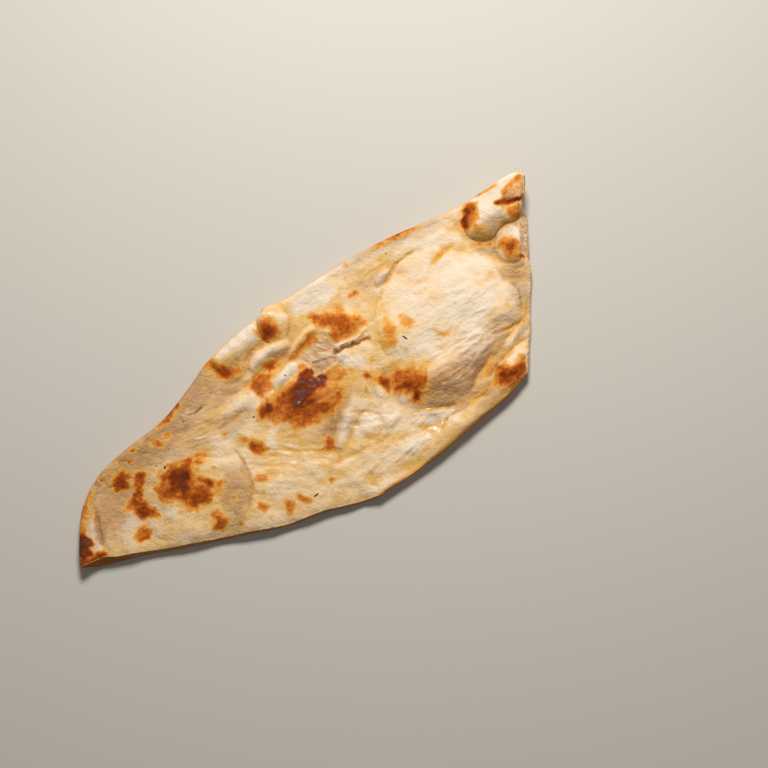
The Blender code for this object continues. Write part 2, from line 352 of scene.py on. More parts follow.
# Valleys, wrinkles and cracks that go down, as name, height, half width and line.
CREASES = [
    ("pocket's upper left", -1.2, 1.7, [(74, 27.5), (68.5, 28), (62.5, 28), (58, 26.5), (54, 25),
        (50.5, 25), (47.5, 25.5)]),
    ("pocket's left", -0.8, 1.5, [(50.5, 22.5), (46.5, 20.5), (43.5, 20), (39.5, 17), (36, 15),
        (32, 14.5)]),
    ("pocket's right", -1, 1.1, [(97, -14), (97, -18.5), (96, -21.5), (93.5, -25), (92, -28)]),
    ("pocket's foot", -0.9, 2.2, [(23, -30), (27, -32.5), (32.5, -36.5), (39.5, -41), (44, -42.5),
        (48.5, -42)]),
    ("at the wide cut", -1.2, 1.8, [(91.5, -31), (86.5, -30.5), (81, -29.5), (75.5, -28)]),
    ("fold under the blister", -0.6, 1, [(100.5, -6), (101.5, -8.5), (104, -11), (107, -12.5)]),
    ("lower fold", -0.4, 0.9, [(99, -9), (101, -11.5), (104.5, -13.5)]),
    ("golden fold", -0.6, 1.5, [(97.5, -3), (96.5, -6.5), (97, -10), (98.5, -13), (102.5, -15.5)]),
    ("under the flap", -1, 2.6, [(11, 4.5), (4.5, 2), (0, -2), (-4, -4.5)]),
    ("behind the front corner", -1.3, 1.8, [(85, -38.5), (80, -37.5), (74.5, -38), (69, -38.5),
        (64, -39.5), (60, -41.5), (57.5, -44.5)]),
    ("right foot", -0.9, 2.6, [(71.5, -31.5), (67, -33), (62, -35), (57, -36), (52, -38), (47, -39.5),
        (42, -39.5)]),
    ("front roll left", -1.1, 1.5, [(25, -46.5), (29, -44), (33, -42.5), (37, -43.5), (40.5, -45.5)]),
    ("front roll right", -1.1, 1.5, [(40.5, -45.5), (43, -44), (46.5, -44), (51, -45), (55.5, -44.5),
        (59.5, -43)]),
    ("round the low centre", -0.5, 1.5, [(-2.5, -21), (0.5, -16), (4.5, -15), (8, -17), (9.5, -21),
        (7.5, -25), (3, -28), (-1, -27.5)]),
    ("behind the front roll", -0.6, 2.5, [(20.5, -29.5), (12.5, -30), (6, -31), (0.5, -30.5), (-6, -28.5),
        (-12.5, -27), (-18.5, -25.5)]),
    ("grey slope", -0.9, 4, [(0, -2), (-6, -7), (-11.5, -11.5), (-15, -16), (-17.5, -22.5)]),
    ("between the rolls", -1.6, 3, [(-9, 40), (-14, 40.5), (-18.5, 39), (-22.5, 36.5), (-27, 34.5),
        (-31.5, 35.5), (-34.5, 38)]),
    ("in front of the rolls", -1.3, 3.2, [(1, 30.5), (-5.5, 29.5), (-12.5, 29), (-20, 30), (-29, 30),
        (-36, 32.5), (-42, 38)]),
    ("left slope", -1.3, 4, [(-33.5, 21.5), (-39, 21.5), (-45.5, 22), (-51, 23)]),
    ("round the golden blister", -0.5, 1.4, [(37, 12.5), (32, 5), (30.5, -1.5), (33.5, -5),
        (37.5, -7.5)]),
    ("swelling's right", -1, 1.4, [(-51, 12), (-50.5, 9), (-51, 5.5), (-51.5, 2), (-52.5, -1),
        (-54, -5.5), (-56.5, -9), (-60.5, -13), (-65.5, -16)]),
    ("swelling's back", -0.5, 1.1, [(-74.5, 23), (-68.5, 20), (-64, 18.5), (-59.5, 13.5), (-52.5, 7)]),
    ("tip fold", -1.3, 2.4, [(-113, 35), (-116.5, 29), (-119, 24), (-122, 18.5), (-124.5, 14)]),
    ("tip hollow", -0.7, 4, [(-103, 29), (-107, 24.5), (-112, 22), (-117.5, 20.5)]),
    ("rim fold", -0.5, 1.5, [(-60, 40.5), (-60, 36.5), (-61.5, 34), (-63, 31.5)]),
    ("back crack", -1.3, 0.9, [(-57, 37), (-54.5, 36), (-51.5, 35.5), (-48, 35)]),
    ("tip crack", -0.8, 1, [(-106.5, 42.5), (-105, 40), (-104.5, 37), (-104, 34.5), (-102.5, 33.5)]),
    ("crumb crack", -0.6, 0.9, [(2.5, 17.5), (6.5, 16), (10, 14), (11.5, 11.5)]),
    ("crumb's far edge", -0.8, 1.1, [(7, 25.5), (13, 26.2), (16.8, 22.8), (16.4, 19.5)]),
    ("crack by the tear", -0.6, 0.8, [(14.5, 11.5), (15.5, 9), (16.5, 7)]),
    ("crack by the tear 2", -0.4, 0.7, [(16, 5.5), (14.5, 2.5)]),
    ("front crack", -0.7, 0.9, [(-15, -41.5), (-13.5, -43.5), (-12.5, -45.5)]),
    ("corner fold", -1, 3.4, [(116, 17), (119.5, 15), (123, 13), (126.5, 11.4), (130, 10)]),
    ("smudge", -0.7, 2.4, [(89, 16), (84.5, 18), (79.5, 17.5), (74.5, 16.5), (70, 14)]),
    ("centre notch", -0.6, 1.5, [(-16, -21.5), (-18, -24.5), (-21, -26.5)]),
    ("front wrinkle", -0.25, 0.9, [(-10.5, -31.5), (-14.5, -37), (-19, -42)]),
]

# Finely wrinkled skin: centre, half sizes, turn, the wrinkles' heading, their spacing and their height.
WRINKLED_END = 1.2
WRINKLED_SLOPE = 0.7
WRINKLED = {
    "pocket's shaded flank": ((57, -27), (30, 12), -6, -10, 2.4, 0.34),
    "pocket's top": ((66, -8), (26, 18), -20, -20, 2.6, 0.17),
    "buttered dip": ((27, -37.5), (11, 7), -20, -35, 1.8, 0.26),
    "in front of the char": ((-40, -9), (26, 16), -10, -42, 2, 0.2),
    "behind the swelling": ((-52, 27), (18, 12), 0, -20, 2, 0.2),
    "low centre": ((2, -20), (16, 11), 40, -42, 2.4, 0.24),
    "front": ((10, -38), (34, 9), -4, 0, 2.6, 0.2),
    "charred middle": ((-11, 8), (16, 8), -13, -5, 1.8, 0.26),
    "back strip": ((55, 30), (28, 7), -14, -10, 2.4, 0.15),
}

# The tear beside the char, where a lifted flap of crust shows the crumb below it.
TEAR_CRUMB = [
    (13, 25.5), (16.5, 22), (16, 20.5), (15, 18), (15, 15.5), (13, 12.5), (11, 11), (9, 11), (5.5, 11.5),
    (2.5, 11.5), (-1, 12.5), (0.5, 14.5), (1, 17), (0, 20), (-0.5, 22.5), (1, 24.5), (4, 24.5), (8, 24),
    (11, 24),
]
DEEP_CRUMB = [
    (2.5, 18.5), (6, 17.5), (9.5, 15.5), (12.5, 13), (11, 11), (9, 11), (5.5, 11.5), (2.5, 11.5),
    (-1, 12.5), (1, 14.5), (1, 17),
]
DEEP_CRUMB_DEPTH = 0.6
TEAR_DEPTH = 0.9
TEAR_GAP = [
    (14, 15.4), (16, 13.8), (18.4, 14.1), (20.4, 12.5), (22.6, 12.9), (24.6, 11.3), (27, 11.3), (30, 9.7),
]
GAP_DEPTH = 1.1
GAP_HALF_WIDTH = 1.7
GAP_NARROWING = 0.4
TORN_LAYER = [(16, 13), (17.5, 9), (18, 4.5), (14.5, 2.5), (13, 7), (12.5, 11)]
TORN_LAYER_RISE = 0.5
CRUMB_LAYERS_HEADING = -60
CRUMB_LAYERS_SPACING = 1.5
CRUMB_LAYERS_HEIGHT = 0.22


def pillow(places, foot, shoulder, soft=False):
    """A puffed area's share of its height: it climbs from its foot and is level past its shoulder."""
    near, depth = depth_in(places, foot, 1.0)
    share = np.zeros(len(places))
    share[near] = ease(depth / shoulder) if soft else dome(depth / shoulder)
    return share


def wrinkles(places, heading, spacing):
    """Fine folds along one heading, between -1 and 1."""
    along = toward(heading)
    across = np.array([-along[1], along[0]])
    drawn_out = np.column_stack([places @ along / 5, places @ across])
    return 1 - 2 * np.abs(hills(drawn_out, spacing, 91, 2)) ** 0.8


def torn_edge(places):
    """Width of the tear's edge: sharp under the flap at its right, and worn soft at its left."""
    return 1.2 + 3.4 * ease((9 - places[:, 0]) / 9)


def in_gap(places):
    """The places near the tear's gap, and their share of its depth: it narrows towards its right end."""
    near, off, along = beside(strayed(places, 0.6, 4, 45), TEAR_GAP, GAP_HALF_WIDTH)
    return near, np.clip(1 - off / (GAP_HALF_WIDTH * (1 - GAP_NARROWING * along)), 0, 1)


def relief(places, baked):
    """Height of the browned face over the underside, before the rims are rounded."""
    height = np.full(len(places), THICKNESS)
    for heading, length, rise in WAVES:
        height += rise * np.sin(places @ toward(heading) * math.tau / length)
    loose = strayed(places, 0.7, 8, 11)
    height += POCKET_HEIGHT * pillow(loose, POCKET_FOOT, POCKET_SHOULDER)
    flank = ease((-loose[:, 1] - POCKET_FLANK_FROM) / POCKET_FLANK_OVER)
    flank *= ease((POCKET_FLANK_END - loose[:, 0]) / POCKET_FLANK_FADE)
    height += POCKET_EDGE_HEIGHT * flank * pillow(loose, POCKET_FOOT, POCKET_EDGE_SHOULDER, soft=True)
    height += SWELLING_HEIGHT * pillow(loose, SWELLING_FOOT, SWELLING_SHOULDER)
    height += CORNER_HEIGHT * np.sqrt(pillow(loose, CORNER_FOOT, CORNER_SHOULDER))
    for centre, half, turn, rise in BUMPS.values():
        out = np.linalg.norm(in_ellipse(loose, centre, half, turn), axis=1)
        height += rise * ease((BUMP_END - out) / BUMP_SLOPE)
    slack = strayed(places, 0.35, 4, 31)
    for lines, roundness in ((RIDGES, 2), (CREASES, 1)):
        for _, rise, half, points in lines:
            near, off, along = beside(slack, points, half)
            across = np.clip(1 - (off / half) ** roundness, 0, 1) ** 2
            height[near] += rise * across * np.sqrt(np.sin(math.pi * along))
    for centre, half, turn, heading, spacing, rise in WRINKLED.values():
        out = np.linalg.norm(in_ellipse(places, centre, half, turn), axis=1)
        near = out < WRINKLED_END
        share = ease((WRINKLED_END - out[near]) / WRINKLED_SLOPE)
        height[near] += rise * share * wrinkles(places[near], heading, spacing)
    torn = strayed(places, 0.5, 2, 41)
    near, depth = depth_in(torn, TEAR_CRUMB, 2)
    height[near] -= TEAR_DEPTH * ease(0.5 + depth / torn_edge(places[near]))
    layers = wrinkles(places[near], CRUMB_LAYERS_HEADING, CRUMB_LAYERS_SPACING)
    height[near] += CRUMB_LAYERS_HEIGHT * ease(depth / 1.5) * layers
    height -= DEEP_CRUMB_DEPTH * share_in(torn, DEEP_CRUMB, 1)
    near, share = in_gap(places)
    height[near] -= GAP_DEPTH * ease(1.3 * share)
    height += TORN_LAYER_RISE * share_in(torn, TORN_LAYER, 0.8)
    for rise, spacing, seed, octaves in UNEVENNESS:
        height += rise * hills(places, spacing, seed, octaves)
    return height + CHAR_GRAIN * ease((baked - 0.45) / 0.4) * hills(places, 2.2, 61, 2)


def lift(places):
    """How far the bread curls up off the table at its two ends."""
    x = places[:, 0]
    wide_end = ease((x - WIDE_END_FROM) / (BREAD_HIGH[0] - WIDE_END_FROM))
    tip = ease((TIP_FROM - x) / (TIP_FROM - BREAD_LOW[0]))
    return WIDE_END_LIFT * wide_end + TIP_LIFT * tip


def sides_of(plan, grid):
    """The plan's own outline, side by side: tip rim, back rim, front rim, long cut and wide cut."""
    sides = []
    for axis, end in ((0, 0), (1, 1), (1, 0), (0, 1)):
        picked = np.flatnonzero(grid[:, axis] == end)
        order = np.unique(grid[picked, 1 - axis], return_index=True)[1]
        sides.append(plan[picked[order]][::3])
    tip, back, front, wide = sides
    corner = np.argmin(np.linalg.norm(front - LONG_CUT[-1], axis=1))
    return tip, back, front[corner:], front[: corner + 1], wide


# Straight out of the wide cut, and straight in from the long cut.
WIDE_OUTWARD = np.array([0.76, -0.65])
LONG_INWARD = np.array([0.46, 0.89])


def waist_of(places):
    """Height of the rim's outermost line: it stands higher where the front rim is rolled under."""
    to_front = nearest_on(smooth_line(FRONT_RIM, 60), places)[0]
    return RIM_WAIST + FRONT_WAIST_RISE * ease(1 - to_front / FRONT_WAIST_REACH)


def near_cut(cut, places, width):
    """Each place's share of a lean along a cut, and how far it lies from where the cut starts."""
    cut = smooth_line(cut, 120)
    return ease(1 - nearest_on(cut, places)[0] / width), np.linalg.norm(places - cut[0], axis=1)


def browned_face(places, baked, to_rim, to_cut):
    """Where each place of the plan lies on the upper face."""
    rounding = np.sqrt(dome(to_rim / RIM_ROUNDING))
    waist = waist_of(places)
    height = relief(places, baked) + RIM_SWELL * ease(1 - to_rim / RIM_SWELL_WIDTH)
    height -= CUT_PINCH * (1 - dome(to_cut / CUT_PINCH_WIDTH))
    height = waist + (height - waist) * rounding + RIM_HALF_EDGE * (1 - rounding) + lift(places)
    spot = places.copy()
    for centre, half, turn, rise, curl in BLISTERS.values():
        own = in_ellipse(strayed(places, 0.5, 6, 43), centre, half, turn)
        out = np.linalg.norm(own, axis=1)
        within = out < 1
        foot = math.radians(curl)
        angle = foot * out[within]
        push = np.sin(angle) / math.sin(foot) / np.maximum(out[within], 1e-6) - 1
        spot[within] += (places[within] - centre) * push[:, None]
        height[within] += rise * (np.cos(angle) - math.cos(foot)) / (1 - math.cos(foot))
    over = np.maximum(height - TOP_FREE, 0)
    height -= over - over * TOP_GIVE / (over + TOP_GIVE)
    share, from_corner = near_cut(WIDE_CUT, places, CORNER_LEAN_WIDTH)
    share *= ease((from_corner - CORNER_LEAN_FROM) / CORNER_LEAN_FADE)
    share *= ease((CORNER_LEAN_TO - from_corner) / CORNER_LEAN_FADE)
    spot -= CORNER_LEAN * share[:, None] * WIDE_OUTWARD
    share, from_tip = near_cut(LONG_CUT, places, TIP_LEAN_WIDTH)
    share *= ease(1.2 * from_tip / TIP_LEAN_LENGTH) * ease(2.2 - 2 * from_tip / TIP_LEAN_LENGTH)
    spot += TIP_LEAN * share[:, None] * LONG_INWARD
    return np.column_stack([spot, height])


def underside(places, to_rim):
    """Where each place of the plan lies on the lower face."""
    rounding = np.sqrt(dome(to_rim / RIM_ROUNDING))
    run = np.subtract(LONG_CUT[-1], LONG_CUT[0])
    outward = np.array([run[1], -run[0]]) / np.linalg.norm(run)
    share, from_tip = near_cut(LONG_CUT, places, CUT_LEAN_WIDTH)
    share *= CUT_LEAN_BEYOND + (1 - CUT_LEAN_BEYOND) * ease(1.3 - from_tip / CUT_LEAN_LENGTH)
    share *= ease(from_tip / CUT_LEAN_FADE) * ease((CUT_LEAN_UNTIL - from_tip) / CUT_LEAN_CEASING)
    dents = DENT_HEIGHT * np.clip(hills(places, 7, 71, 2), 0, 1) * ease(to_rim / RIM_ROUNDING)
    height = (waist_of(places) - RIM_HALF_EDGE) * (1 - rounding) + dents + lift(places)
    return np.column_stack([places + CUT_LEAN * share[:, None] * outward, height])


# How baked the dough is, from pale at 0 to char at 1, left by the oven's hot wall on whatever stood
# highest. Each stain is its bake, the width of its soft edge and its outline, and each streak is its
# bake, half width and line. A few stains and streaks are painted shade and shadow given as browning:
# under the corner puff and its facet, and in valleys by the pocket's foot. The ash stains carry painted
# sheen.
STAINS = {
    "orange patch": [
        (0.43, 4.2, [(15, 32.5), (16, 35), (19, 34.5), (21, 32.5), (23, 30.5), (26, 31.5), (29, 31.5),
            (31, 30.5), (30.5, 28), (28.5, 26.5), (30, 24), (32.5, 22.5), (33, 19.5), (34, 16.5),
            (34, 15), (30.5, 15), (27, 14.5), (23, 15), (19.5, 15.5), (17, 16.5), (15.5, 18), (15, 20.5),
            (17, 23), (19.5, 24.5), (18, 27.5), (15.5, 30.5)]),
        (0.55, 4.9, [(18.5, 32), (22, 30.5), (26.5, 30.5), (27.5, 27), (29.5, 22.5), (31.5, 19.5),
            (29.5, 17), (25, 17), (20.5, 17.5), (17, 19), (18, 21.5), (21, 24), (19.5, 28)]),
        (0.5, 4, [(14, 34), (19, 33), (24, 30.5), (26, 27), (23, 23), (18.5, 25.5), (15, 30)]),
    ],
    "browned fold": [
        (0.4, 3, [(12, 28.5), (13.5, 25), (10.5, 24), (7, 24), (3, 25), (-1.5, 25), (-4.5, 25),
            (-4.5, 27), (-0.5, 28), (4, 28.5), (9, 29)]),
    ],
    "left patch": [
        (0.5, 3.8, [(-17, 30.5), (-14.5, 27.5), (-14, 26), (-17.5, 25.5), (-18.5, 22.5), (-21.5, 21.5),
            (-25, 21.5), (-26.5, 23), (-26.5, 26.5), (-26.5, 29.5), (-24, 31), (-20.5, 31)]),
        (0.54, 3.8, [(-10.5, 32.5), (-7.5, 30), (-9, 27.5), (-12.5, 27.5), (-15.5, 29.5), (-15.5, 32)]),
    ],
    "cluster": [
        (0.28, 5, [(17, -0.5), (21.5, -4), (25.5, -9), (30, -9), (34.5, -12), (38, -16.5), (37.5, -21),
            (34.5, -25.5), (31, -29.5), (27.5, -31), (26, -28), (25.5, -24.5), (22, -21), (21, -16.5),
            (19, -13), (16, -9), (15, -5)]),
        (0.66, 3, [(20.5, -8), (23.5, -11), (23, -13.5), (21.5, -15), (20, -15.5), (19.5, -12.5),
            (19.5, -10)]),
        (0.58, 2.7, [(16, -2), (18.5, -2.5), (19.5, -5.5), (17.5, -5.5), (15.5, -4.5)]),
        (0.54, 4, [(26.5, -10.5), (30, -11.5), (34.5, -13.5), (36.5, -17), (36.5, -20.5), (34, -24),
            (31, -26), (29, -29), (26.5, -29), (25.5, -25.5), (26.5, -22), (23, -20), (21.5, -17),
            (22.5, -14), (25, -12)]),
        (0.72, 3.6, [(26, -14.5), (29.5, -16.5), (32, -19.5), (33, -22), (30, -21.5), (27, -20.5),
            (24.5, -19), (22.5, -17.5), (23.5, -16.5), (26, -17.5), (25.5, -15.5)]),
        (0.24, 4.6, [(26.5, -4), (30.5, -5.5), (33, -9.5), (36, -10.5), (38, -14), (42, -17.5),
            (39, -19.5), (33.5, -16), (28.5, -13.5), (25, -10.5), (25, -6.5)]),
        (0.68, 2.7, [(28, -22), (30, -24), (30.5, -27), (29, -28), (27, -27), (27, -24.5)]),
    ],
    "golden spots": [
        (0.36, 3.4, [(42, 10.5), (42.5, 6.5), (40.5, 3), (38, 0), (34.5, -1), (31.5, 0.5), (32, 3),
            (35.5, 6.5), (38.5, 9)]),
        (0.32, 3, [(46.5, 7.5), (49.5, 6), (50.5, 3.5), (49, 1), (46, 1), (44.5, 4)]),
    ],
    "front marks": [
        (0.6, 3.4, [(-41.5, 9.5), (-40, 7), (-39.5, 3.5), (-39.5, 0.5), (-41.5, -0.5), (-44, 1),
            (-44.5, 4), (-44.5, 7)]),
        (0.32, 2.7, [(-45, 13.5), (-43, 11.5), (-43, 9), (-45.5, 10), (-46, 12)]),
        (0.42, 1.9, [(-51, -5), (-49, -6.5), (-47.5, -9), (-50.5, -8.5), (-52, -6.5)]),
        (0.58, 2.8, [(-17, -13.5), (-14, -14), (-13, -17), (-15.5, -18.5), (-18, -18), (-18.5, -16)]),
        (0.48, 2.3, [(-41.5, -24.5), (-41, -27), (-39.5, -29.5), (-41, -30), (-43, -27.5), (-43.5, -25)]),
        (0.46, 2.7, [(-49.5, -23), (-47, -25), (-47, -28), (-49.5, -29), (-51, -26)]),
        (0.44, 1.9, [(-26.5, -28), (-25, -29.5), (-25, -31), (-27.5, -31), (-27.5, -29)]),
        (0.42, 1.9, [(-59, -15.5), (-57, -17.5), (-56.5, -19.5), (-59, -19.5), (-60.5, -17)]),
        (0.54, 3.4, [(-78, -6), (-75.5, -6), (-74.5, -9), (-73.5, -12.5), (-76, -13.5), (-79, -12.5),
            (-80, -9.5)]),
    ],
    "back edge": [
        (0.52, 2.7, [(-69.5, 43.5), (-65, 46), (-60, 46.5), (-55.5, 46), (-56, 42.5), (-61, 41),
            (-64.5, 40.5), (-69, 41)]),
        (0.5, 3, [(-35.5, 52.5), (-32, 52.5), (-30.5, 47.5), (-28.5, 43.5), (-25.5, 40), (-24.5, 37),
            (-28, 36.5), (-32, 38.5), (-34, 43.5), (-36, 49)]),
        (0.62, 2.4, [(-31.5, 45), (-28, 41.5), (-27.5, 39), (-30, 39), (-32.5, 42)]),
        (0.46, 2.3, [(-76.5, 39), (-73.5, 37), (-71.5, 34), (-73.5, 33), (-76, 33.5), (-77, 36)]),
        (0.36, 2.3, [(-69.5, 37), (-67.5, 36.5), (-68, 34), (-70.5, 34), (-70.5, 35.5)]),
    ],
    "charred swelling": [
        (0.53, 6, [(-86.5, 22), (-81.5, 24), (-76, 24), (-71.5, 21.5), (-66.5, 19.5), (-62, 18),
            (-62, 16), (-67.5, 16), (-70, 15), (-72, 11.5), (-70.5, 8.5), (-67.5, 6.5), (-65, 3.5),
            (-65.5, 1), (-69, 1.5), (-72.5, 0), (-75.5, -2), (-79.5, -2), (-83, 1), (-85, 4.5),
            (-85.5, 8.5), (-87.5, 11.5), (-90, 15.5), (-89, 19.5)]),
        (0.62, 5, [(-84, 19.5), (-79.5, 21), (-75.5, 20.5), (-73.5, 17), (-74, 13), (-75, 9), (-73, 6),
            (-73.5, 3), (-77.5, 0.5), (-81.5, 1), (-83.5, 5), (-83.5, 9), (-85, 13), (-86, 17)]),
        (0.76, 4.5, [(-79, 21), (-76, 20), (-74.5, 16), (-76, 13), (-77, 9), (-78, 6), (-81, 6),
            (-82, 11), (-83, 15.5), (-83, 19.5)]),
        (0.54, 4.2, [(-75.5, 14.5), (-73.8, 8.5), (-75.2, 3), (-79.5, 1.5), (-82, 5.5), (-80.5, 11)]),
        (0.7, 2.5, [(-69.5, 7.5), (-67.5, 5.5), (-69, 3), (-71, 4), (-71, 6.5)]),
    ],
    "back blister": [
        (0.5, 4, [(-3, 49.5), (-0.5, 48.5), (1.5, 46), (2.5, 42.5), (1, 39.5), (-2, 38), (-6, 39),
            (-7.5, 42.5), (-6.5, 46.5)]),
        (0.66, 3.5, [(-2.5, 47), (0, 45.5), (0, 42), (-2.5, 40), (-5.5, 41.5), (-5.5, 44.5)]),
    ],
    "charred middle": [
        (0.33, 3.4, [(-1, 20.5), (0.5, 18), (1, 15), (0, 13.5), (0, 12.5), (2.5, 11.5), (6, 11), (10, 10),
            (12, 8.5), (12.5, 5.5), (10, 2), (6, -1), (2, -3.5), (-2, -5.5), (-7.5, -6.5), (-14, -5),
            (-19.5, -3), (-23, -2), (-24.5, 0), (-24, 3.5), (-25.5, 6.5), (-28.5, 8), (-31, 10.5),
            (-33, 14), (-32.5, 16.5), (-30.5, 18), (-27, 18.5), (-25, 18.5), (-22, 18), (-19, 19),
            (-16, 19.5), (-12.5, 18.5), (-9, 18), (-6, 19), (-3.5, 19.5)]),
        (0.5, 3, [(0.5, 1), (4.5, 0.5), (2.5, -3), (-1.5, -5.5), (-5.5, -5.5), (-6.5, -2.5), (-3.5, 0)]),
        (0.78, 3, [(-2.5, 20), (0.5, 18.5), (1.5, 15.5), (0, 13), (-3.5, 11), (-7, 11), (-9.5, 12.5),
            (-9, 15.5), (-5, 17.5)]),
        (0.51, 4.5, [(-1.5, 19.5), (0, 17.5), (0.5, 15), (-1, 13), (0, 11), (-1, 8), (-3, 5.5), (-5, 2),
            (-5, -1.5), (-4.5, -4), (-9, -4.5), (-14, -3.5), (-19.5, -2), (-22.5, -0.5), (-23, 2),
            (-22.5, 5), (-22.5, 7.5), (-21.5, 10.5), (-21.5, 13), (-20, 16), (-17.5, 18), (-14.5, 18),
            (-10.5, 17), (-7, 17), (-3.5, 18.5)]),
        (0.44, 3.5, [(-24.5, 16), (-21.5, 13), (-21.5, 7.5), (-23.5, 4.5), (-27, 7.5), (-29.5, 10.5),
            (-28, 13.5)]),
        (0.63, 5, [(-18, 14.5), (-15, 13.5), (-14, 10), (-11.5, 7), (-8, 3.5), (-6, 1), (-4, -1.5),
            (-5, -3.5), (-10, -3), (-15, -1.5), (-19.5, 1), (-20, 5.5), (-20, 9), (-19.5, 12)]),
        (0.7, 4.2, [(-1.7, 19.5), (1, 17), (0.2, 13), (2.5, 11), (2, 8), (-2.5, 6), (-7, 5.5), (-12, 5.5),
            (-17, 7), (-19, 11), (-18.5, 14.5), (-15, 16.5), (-11, 16), (-6, 17)]),
        (0.5, 3, [(-27, 19), (-24, 18), (-23.5, 15), (-26.5, 12.5), (-30, 11), (-32.5, 13), (-32, 15.5),
            (-29.5, 17.5)]),
        (0.9, 2.6, [(-25, 17.5), (-24.5, 15), (-27, 13.5), (-29.5, 12.5), (-31.5, 13.5), (-30.5, 15),
            (-28, 16.5)]),
    ],
    # Grey char that is partly painted sheen: these stains reach the grey top of the bake steps, for ash and
    # for light glancing off glossy char.
    "ash_and_sheen": [
        (0.64, 2.6, [(-15.7, 11), (-11, 12.2), (-6.7, 12), (-1.7, 11.5), (2.3, 10.5), (2.3, 8),
            (-3.5, 7.5), (-8, 7.5), (-13, 7.5)]),
        (0.4, 3, [(-129, 23.5), (-127.5, 22.5), (-128, 19.5), (-130.5, 17.5), (-132.5, 18.5),
            (-131.5, 21)]),
    ],
    "corner": [
        (0.55, 3.6, [(108.5, 26.5), (109.5, 25), (108, 22.5), (106, 20.5), (104, 18), (101, 16),
            (98, 17.5), (98, 19.5), (100, 23), (103, 26), (106.5, 27)]),
        (0.82, 2.4, [(105.5, 26), (105.5, 24), (103, 21.5), (101, 19), (99.5, 18), (98.5, 19.5),
            (100, 22.5), (102, 24.5), (104, 26)]),
        (0.3, 4.5, [(102, 19.5), (103.5, 16.5), (104.5, 13.5), (104.5, 10.5), (101.5, 9.5), (99.5, 12),
            (98, 15.5), (99, 18)]),
        (0.42, 2, [(120.5, 17), (122, 20), (124.5, 21.5), (128, 22.5), (130.5, 22), (133.5, 21),
            (134.5, 19.5), (132.5, 18), (128.5, 18.5), (126, 18.5), (123.5, 18), (121.5, 16.5)]),
        # Partly painted shadow: this dark band browns the wedge under the facet's overhanging edge, where
        # its shade falls.
        (0.76, 1.9, [(116.5, 18), (119, 17), (121.5, 15.5), (124, 14), (126, 13.5), (128.5, 13),
            (127.5, 11.5), (124.5, 12), (121.5, 13.5), (119, 14.5), (117, 16.5)]),
        (0.46, 2.8, [(118.5, 11.5), (120, 9.5), (123, 10), (125.5, 10), (125, 8.5), (122.5, 7),
            (119.5, 7.5), (117.5, 9.5), (116.5, 11)]),
        (0.38, 2.4, [(117.5, 14), (121, 12), (124.5, 11), (123.5, 9), (121, 9), (118, 11), (117, 12.5)]),
    ],
    "facet": [
        (0.52, 2.4, [(121, 16.5), (123, 19), (126, 19.5), (129, 19), (132, 18), (131, 15.5), (128.5, 13),
            (125, 14)]),
    ],
    "cut blister": [
        (0.46, 3.4, [(106.5, 4.5), (109, 4), (111, 1.5), (111.5, -1.5), (110, -4.5), (106.5, -5.5),
            (103.5, -5), (103, -1.5), (104, 2)]),
        (0.58, 3, [(106.5, 2), (109, 0.5), (108.5, -2.5), (106, -4), (104.5, -2.5), (105, 0.5)]),
    ],
    "front corner": [
        (0.5, 4.4, [(60.4, -43), (65.5, -41.2), (68.7, -41.9), (70.1, -43.7), (73.8, -43.4),
            (76.6, -43.8), (77.8, -45.6), (76.8, -48.2), (74.2, -50.7), (69.9, -51.7), (65.2, -51.9),
            (61.3, -50.6), (59.3, -47.5), (59, -45.2)]),
        (0.7, 3.4, [(61.5, -43.9), (65.5, -42.5), (68.3, -43.6), (69.7, -45.4), (73.3, -45.1),
            (75.8, -45.8), (74, -48.4), (70.3, -50), (65.6, -50.2), (62.1, -48.5), (60.7, -46)]),
        (0.9, 4.6, [(64.4, -44.3), (67.6, -44.3), (69.7, -46.1), (70, -48.4), (67.1, -49.4),
            (64.3, -48.3), (63.2, -46.1)]),
    ],
    "near the tip": [
        (0.68, 3.8, [(-100, 37.5), (-97.5, 37), (-95.5, 35.5), (-95, 32), (-97.5, 29), (-100.5, 30),
            (-102.5, 33), (-101.5, 35.5)]),
        (0.58, 2.8, [(-92, 31), (-90, 30.5), (-88.5, 28), (-91, 25.5), (-93.5, 23.5), (-96, 21.5),
            (-97.5, 23), (-95.5, 26), (-94, 29)]),
        (0.64, 3.6, [(-100, 24), (-97.5, 24), (-97, 20.5), (-96, 17.5), (-95, 15.5), (-95.5, 12),
            (-96, 9.5), (-98.5, 11), (-101.5, 14), (-102, 17), (-102.5, 20), (-104.5, 21.5),
            (-102.5, 23)]),
        (0.58, 3.6, [(-107, 11.5), (-104.5, 11), (-102.5, 9), (-103.5, 7), (-106, 5.5), (-109, 7),
            (-109.5, 9.5)]),
    ],
    "tip": [
        (0.88, 3.2, [(-128.5, 26), (-126, 24.5), (-126, 21.5), (-127, 19), (-129, 17), (-131.5, 16.5),
            (-134, 17.5), (-133, 20.5), (-131, 23.5)]),
        (0.64, 3, [(-134.5, 18), (-131, 16.5), (-127, 15), (-124, 12.5), (-126.5, 11), (-132.5, 12.5),
            (-136.5, 15)]),
        (0.35, 3, [(-110.5, 41), (-110, 37), (-113, 35), (-116.5, 33.5), (-119, 30.5), (-122, 28.5),
            (-124.5, 25), (-127.5, 24), (-128.5, 26), (-126.5, 29.5), (-122.5, 34), (-118, 37.5),
            (-114.5, 40)]),
        (0.38, 2.4, [(-118, 36), (-117, 34.5), (-118.5, 32), (-120.5, 32.5)]),
        (0.38, 2.4, [(-123, 31), (-122, 28.5), (-124.5, 26), (-126.5, 27.5)]),
    ],
}
